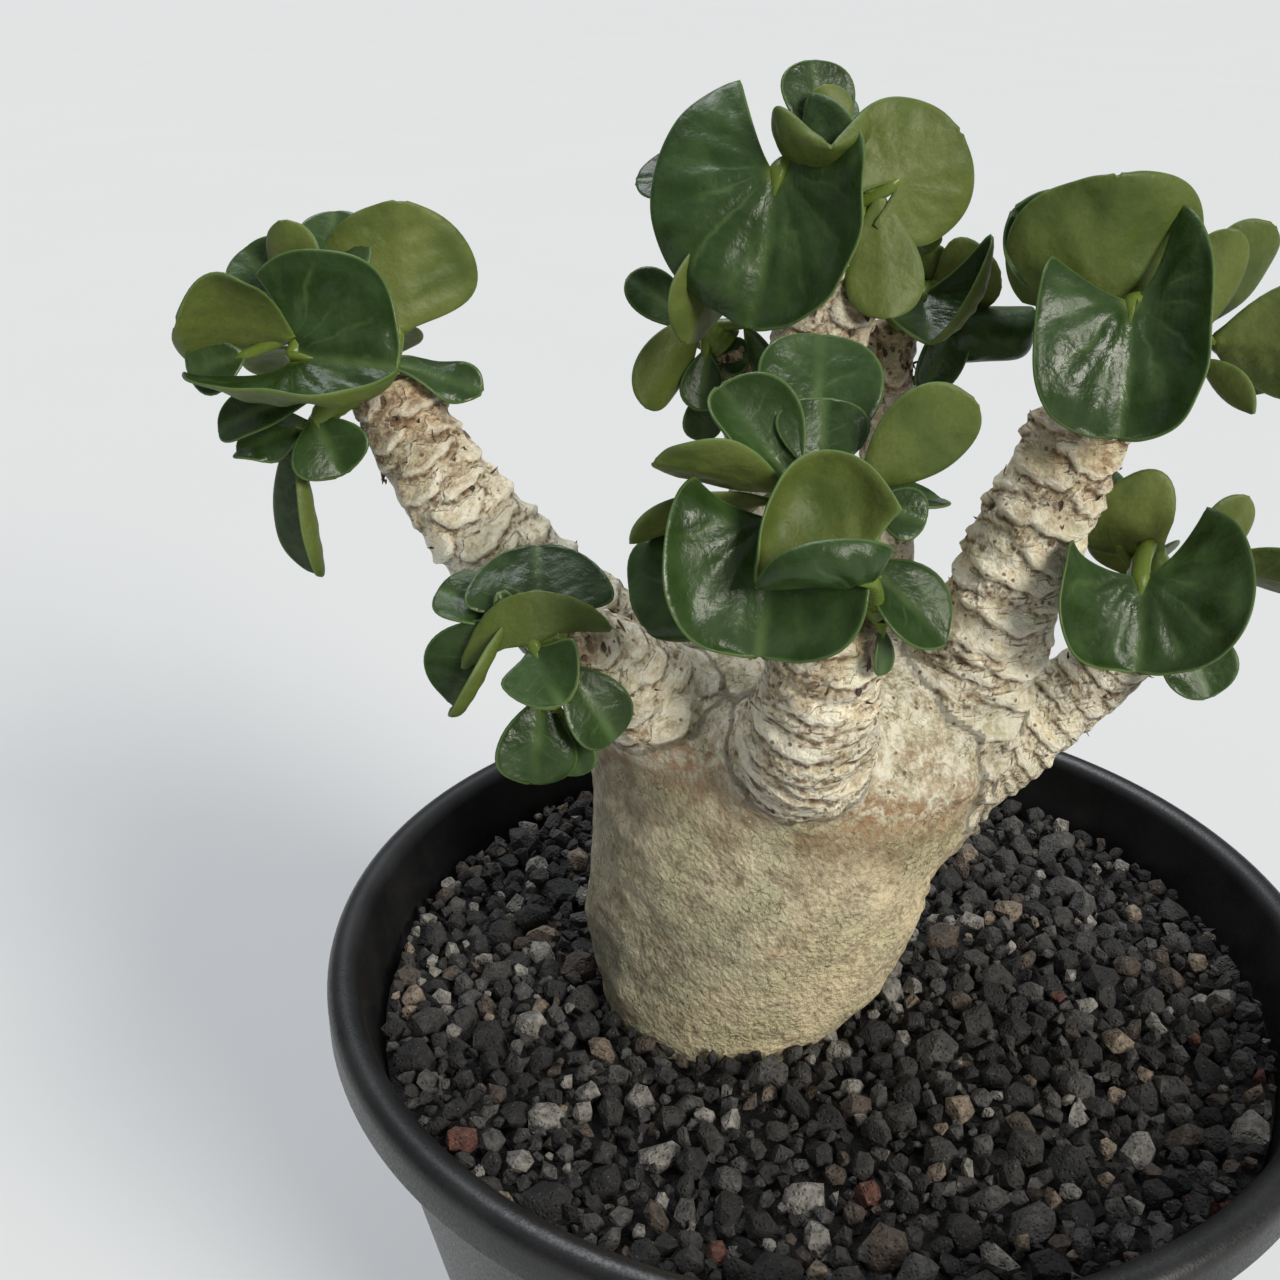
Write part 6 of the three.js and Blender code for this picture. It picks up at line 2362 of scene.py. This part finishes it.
ROSETTES = (
    Rosette("rosette_left_high", (-99, 9, 276), (
        ((-87.2, 10, 266.6, 6.2), (-93, 9.5, 271, 5), (-100, 9, 277, 2.8)),
        ((-89, 8, 266, 3.4), (-96, 6, 263, 2.8), (-100, 5, 258, 2.2)),
    ), (
        Leaf((-3.5, -5, -4), (-18, 0), (-90, 30), 20, 41, 10, (28, 110),
             skew=0.05, lobe=(0.62, 0.9), notch=(42, 30), square=2.6),
        Leaf((-4, 2, 1), (100, 75), (70, 0), 18, 12, 10),
        Leaf((-4, -3, -1), (176, 20), (90, 20), 21, 27, 45, (-30, 40), wave=2),
        Leaf((-13, -3, -4), (195, -15), (-100, 20), 11, 11, 10),
        Leaf((14, 5, -2), (80, 75), (100, 0), 24, 30, 20, fan=0.2),
        Leaf((4, 0.5, 2), (100, 65), (-90, 20), 21, 14, 20),
        Leaf((-3, 3, 0), (150, 45), (-90, 25), 20, 14, 20),
        Leaf((12, -2, -6), (-5, -8), (-90, 60), 19, 9, 20, wave=2),
        Leaf((0, -4, -11), (185, -12), (-90, 45), 22, 10, 30),
        Leaf((-1, -4, -17.5), (185, -8), (-90, 45), 17, 9, 30, wave=3),
        Leaf((-1, -5, -15.5), (-50, -45), (-80, 20), 12, 15, 20),
        Leaf((-5, -3, -18), (-75, -80), (-120, 10), 29, 16, 10, (120, 15)),
        Leaf((4, 5, -3), (70, 10), (0, 90), 21, 17, 60, (30, 20)),
        Leaf((-3, 5, -5), (125, 0), (0, 90), 20, 17, 55, (15, 35)),
    )),
    Rosette("rosette_left_low", (-59, -23, 228), (
        ((-54.4, -22.3, 228.3, 5.2), (-57, -23.5, 229, 4.4), (-61, -24.5, 230, 2.6)),
        ((-57, -24, 228, 3.2), (-56, -26.5, 221, 2.6), (-55.5, -27, 216, 2)),
    ), (
        Leaf((2, 0, 3), (95, 42), (-90, 50), 16, 27, 10, fan=0.4),
        Leaf((1, -5, 1.2), (120, 60), (90, -10), 9, 28, 10, fan=0.8, blunt=3),
        Leaf((-4, -2, 4), (200, -50), (-110, 40), 19, 19, 20, (120, 20)),
        Leaf((-4, 2, 2.5), (170, 25), (-90, 60), 14, 12, 20),
        Leaf((-3, -1, 3), (150, 70), (-90, 20), 6, 4, 10, (50, 50)),
        Leaf((1, -5, 0), (-60, -30), (-90, 20), 12, 16, 10, (30, 30), fan=0.3, blunt=2.5),
        Leaf((6, -4, -4), (-30, -40), (-70, 40), 17, 13, 40),
        Leaf((2, -4, -10), (-100, -60), (-90, 30), 16, 15, 20, (-30, 30), blunt=2.5),
        Leaf((6, -3, -16), (-50, -60), (-80, -30), 10, 8, 10),
        Leaf((-2, 4, -3), (120, 5), (0, 90), 16, 13, 60, (20, 30)),
    )),
    Rosette("rosette_centre_front", (-10, -37, 261.5), (
        ((-6.5, -36.6, 240.5, 7), (-8.5, -37.5, 251, 5.5), (-10.5, -37, 263, 3)),
        ((-7, -38, 245, 3), (-2, -42.5, 244, 2.4), (0.2, -44.3, 241, 1.6)),
    ), (
        Leaf((-1, 4, 1), (80, 60), (-90, 25), 24, 21, 15),
        Leaf((0, 1, 1), (85, 65), (-90, 25), 13, 15, 10),
        Leaf((-4, 0, -1), (150, 50), (-60, 20), 21, 18, 10, (60, 60)),
        Leaf((-6, -3, 0), (185, 20), (90, 50), 22, 18, 10),
        Leaf((5.5, -17.5, -9), (184, -3), (0, -90), 17, 36, 0, (-115, -130),
             skew=-0.36, lobe=(0.5, 0.4), notch=(30, 40)),
        Leaf((6.5, -1, 0), (10, 40), (100, 10), 22, 16, 10),
        Leaf((4, 0, -3), (20, 0), (200, 60), 18, 16, 10),
        Leaf((-8, -5, -4), (-98, -40), (-90, 50), 22.5, 35, 45, (40, 45),
             skew=0.05, lobe=(0.02, 0.32), notch=(75, 48), square=2.5),
        Leaf((8, -3, -2), (-20, -10), (-90, 40), 9, 9, 20),
        Leaf((7, -4, -12), (-25, -32), (-60, 45), 19, 15, 20, point=0.8),
        Leaf((10.2, -7.5, -22), (-70, -70), (-60, 30), 8, 4, 20),
        Leaf((-8, 2.5, -3.5), (185, -5), (90, 45), 24, 13, 20),
        Leaf((-11, -2, -10), (200, -30), (-90, 40), 22, 26, 20, (-130, -30)),
        Leaf((3, 4, -4), (60, 10), (0, 90), 19, 16, 60, (35, 15)),
        Leaf((-4, 4, -5), (125, 5), (0, 90), 20, 17, 70, (20, 35)),
    )),
    Rosette("rosette_back_tall", (-8, 11, 302), (
        ((-0.4, 15, 292.6, 6.8), (-4, 13, 298, 5.2), (-7.5, 11, 305, 3)),
    ), (
        Leaf((-7.3, -5, 2), (-105, -58), (-85, 35), 27, 42, 30, (80, -25),
             skew=0.05, lobe=(0.55, 0.74), notch=(16, 23), square=2.0),
        Leaf((0, -3, 2), (-85, 15), (90, 75), 12, 29, -28, (100, 100),
             lobe=(0.35, 0.35), notch=(50, 50), square=3),
        Leaf((2, 3, 4), (115, 72), (-70, 15), 17, 14, 10),
        Leaf((5, 0, 6), (180, 65), (100, 10), 11, 9, -20, (30, 30)),
        Leaf((14.5, -1, 0), (20, 35), (95, -5), 14, 27, 10, (15, 15),
             lobe=(0.55, 0.6), notch=(12, 12), square=2.2),
        Leaf((11.5, -1, -2), (-68, -75), (90, 0), 22, 14, 10, (10, 10), blunt=2.5),
        Leaf((-4, 3, -1), (176, 5), (-90, 60), 28, 16, 10),
        Leaf((-10, 0, -6), (200, -52), (120, 40), 26, 21, 10),
        Leaf((1, 5, -3), (85, 5), (0, 90), 30, 30, 80, (40, 30), fan=0.4),
        Leaf((7, 4, -5), (25, 0), (0, 90), 20, 17, 60, (30, 20)),
        Leaf((-4, 5, -6), (135, -5), (0, 90), 25, 20, 55, (20, 40)),
        Leaf((3, 5, 2), (85, 50), (-90, 30), 17, 11, 20, (30, 30)),
    )),
    Rosette("rosette_back_right", (16, 28, 278), (
        ((11.6, 30, 272.6, 4.4), (14, 29, 275.5, 3.8), (17.5, 28, 280, 2.4)),
    ), (
        Leaf((-0.5, -4, 1), (-90, -30), (-90, 60), 13, 29, 0, (100, 30), fan=0.4, skew=-0.36),
        Leaf((2, 0, 2), (-10, 10), (90, 20), 13, 18, 10, fan=0.2),
        Leaf((3, 0, 1), (150, 75), (90, 10), 9, 6, 10),
        Leaf((9, -2, 0), (215, -60), (-60, 30), 20, 10, 10),
        Leaf((5, 0, -3), (0, 2), (0, 90), 17, 28, 0, (-165, -165),
             lobe=(0.05, 0.05), notch=(25, 25), square=5),
        Leaf((3, 5, -2), (95, 10), (0, 90), 19, 17, 70, (30, 30)),
    )),
    Rosette("rosette_back_left", (-26, 35, 269), (
        ((-21.7, 35, 266.5, 4), (-24, 35, 268.5, 3.4), (-27, 35, 271, 2.2)),
    ), (
        Leaf((-1, -2, 4), (215, -45), (100, 20), 22, 13, 10),
        Leaf((1, -2, -4), (-20, 0), (-90, 30), 8, 8, 10),
        Leaf((0, -3, -3), (-100, -60), (-90, 30), 12, 9, 10),
        Leaf((0, -3, -10.5), (-110, -80), (-90, 10), 11, 8, 10),
        Leaf((8, -2, 2), (-20, -60), (-90, 10), 12, 5, 10),
        Leaf((-2, 0, 1), (170, 38), (-90, 40), 17, 10, 10),
        Leaf((1, 4, -1), (90, 5), (0, 90), 17, 14, 60, (30, 20)),
    )),
    Rosette("rosette_right_high", (52, -2, 282), (
        ((45.2, 0, 267.6, 7.2), (49, -1, 275, 5.6), (52.5, -2, 284, 3)),
    ), (
        Leaf((-8, 1, -1), (178, 84), (90, 12), 24.5, 36, 15, (30, 30),
             lobe=(0.12, 0.12), notch=(55, 55), square=2.2),
        Leaf((-6.2, -4, 2.3), (-97, -52), (-83, 38), 24, 33, 25, (85, 10),
             skew=0.04, lobe=(0.75, 0.45), notch=(28, 50), square=3),
        Leaf((7.5, -2, -4), (30, 80), (100, 0), 18.5, 11, 10),
        Leaf((9, 1, -3), (20, 60), (100, 20), 20, 14, 10),
        Leaf((10, -2, -5), (-5, 0), (100, 25), 22, 26, 20),
        Leaf((8, -4, -8), (-30, -35), (100, 40), 13, 7, 10, point=0.9),
        Leaf((-4, 6, -1), (180, 40), (-100, 20), 27, 18, 10),
        Leaf((2, 5, -3), (80, 10), (0, 90), 25, 24, 75, (35, 25), fan=0.3),
        Leaf((-3, 5, -5), (105, 0), (0, 90), 20, 16, 60, (20, 40)),
        Leaf((7, 3, -6), (22, -8), (0, 90), 22, 18, 50, (30, 20)),
    )),
    Rosette("rosette_right_low", (60, 5, 232.5), (
        ((61.1, 6, 221.6, 5.2), (61, 5.5, 228, 4.4), (60, 5, 234.5, 2.6)),
    ), (
        Leaf((2, 1, 0), (140, 40), (90, 20), 16, 22, 30, (30, 30)),
        Leaf((-5.4, -12, 0.3), (-98, -42), (-95, 48), 18, 42, 30, (40, 70),
             skew=0.04, lobe=(0.9, 0.3), notch=(35, 52), square=2.5),
        Leaf((9, -3, -8), (30, 70), (110, 5), 22, 12, 10),
        Leaf((9, 0, -5), (0, 20), (100, 40), 26, 20, 60),
        Leaf((6, -4, -11), (-60, -50), (-90, 30), 17, 15, 10),
        Leaf((-4, 6, 0), (130, 60), (-90, 20), 16, 10, 10),
        Leaf((1, 5, -3), (80, 5), (0, 90), 20, 19, 70, (30, 30)),
        Leaf((5, 4, -6), (30, -5), (0, 90), 19, 16, 60, (30, 20)),
    )),
)


@dataclass(frozen=True)
class SoftLight:
    """A far, wide and soft lamp."""

    name: str
    azimuth: float
    elevation: float
    spread: float
    strength: float
    colour: Colour

    def hang(self) -> None:
        """Adds the lamp and points it at the plant."""
        lamp = bpy.data.lights.new(self.name, "SUN")
        lamp.angle = math.radians(self.spread)
        lamp.energy = self.strength
        lamp.color = self.colour
        holder = bpy.data.objects.new(self.name, lamp)
        comes_from = Vector(Leaf.direction((self.azimuth, self.elevation)))
        holder.location = comes_from
        holder.rotation_euler = comes_from.to_track_quat("Z", "Y").to_euler()
        bpy.context.scene.collection.objects.link(holder)


@dataclass
class Studio:
    """The camera, the soft lamps and the pale floor."""

    camera_place: Point = (-39.2, -266.5, 341.2)
    camera_pitch: float = 25.05
    lens: float = 42.13
    sensor: float = 36.0
    far_clip: float = 100.0
    floor_half: float = 14000.0
    floor_level: float = -0.5
    sky: Colour = (0.93, 0.96, 1.0)
    horizon_strength: float = 0.12
    zenith_strength: float = 0.5
    lamps: tuple[SoftLight, ...] = (
        SoftLight("key_light", -50.0, 27.0, 22.0, 3.1, (1.0, 0.955, 0.87)),
        SoftLight("top_light", 110.0, 68.0, 34.0, 1.9, (0.93, 0.97, 1.0)),
    )

    def build(self) -> None:
        """Sets up the camera, the lamps, the sky and the floor."""
        bpy.context.scene.view_settings.view_transform = "Standard"
        camera = bpy.data.cameras.new("photo_camera")
        camera.lens = self.lens
        camera.sensor_width = self.sensor
        camera.clip_end = self.far_clip
        holder = bpy.data.objects.new("photo_camera", camera)
        holder.location = Vector(self.camera_place) * MM
        holder.rotation_euler = (math.radians(90 - self.camera_pitch), 0.0, 0.0)
        bpy.context.scene.collection.objects.link(holder)
        bpy.context.scene.camera = holder
        self.build_sky()
        for lamp in self.lamps:
            lamp.hang()
        half, level = self.floor_half, self.floor_level
        square = [(-half, -half, level), (half, -half, level), (half, half, level), (-half, half, level)]
        floor = Sculpt()
        floor.add(np.array(square), [(0, 1, 2, 3)])
        floor.make("studio_floor", PaleFloor().make(), smooth=False)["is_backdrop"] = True

    def build_sky(self) -> None:
        """Makes a sky that is brighter overhead than at the horizon."""
        world = bpy.data.worlds.new("soft_sky")
        world.use_nodes = True
        wiring = Wiring(world.node_tree)
        looks = wiring.tree.nodes.new("ShaderNodeTexCoord").outputs["Generated"]
        height = wiring.node("ShaderNodeSeparateXYZ", {0: looks}).outputs[2]
        feeds = {0: height, 1: 0.1, 2: 0.9, 3: self.horizon_strength, 4: self.zenith_strength}
        strength = wiring.wire("ShaderNodeMapRange", feeds, interpolation_type="SMOOTHSTEP")
        backdrop = wiring.tree.nodes["Background"]
        wiring.feed(backdrop.inputs["Color"], self.sky)
        wiring.feed(backdrop.inputs["Strength"], strength)
        bpy.context.scene.world = world


def report(piece: Piece) -> None:
    """Logs a piece's name and its number of triangles."""
    piece.data.calc_loop_triangles()
    log.info("%s: %d triangles", piece.name, len(piece.data.loop_triangles))


def corners() -> list[list[float]]:
    """The whole object's lowest and highest corners as plain lists."""
    return [list(corner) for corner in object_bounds()]


def main() -> None:
    """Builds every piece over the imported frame."""
    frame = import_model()
    Studio().build()
    report(Pot().build())
    mix = frame["nodes"]["potting_mix"]
    mix.material_slots[0].material = DampMix().make()
    report(mix)
    for piece in Gravel().build():
        report(piece)
    report(Caudex().build())
    report(DryStubs().build())
    skin = LeafSkin().make()
    for rosette in ROSETTES:
        report(rosette.build(skin))


if __name__ == "__main__":
    logging.basicConfig(level=logging.INFO, format="%(name)s: %(message)s")
    main()
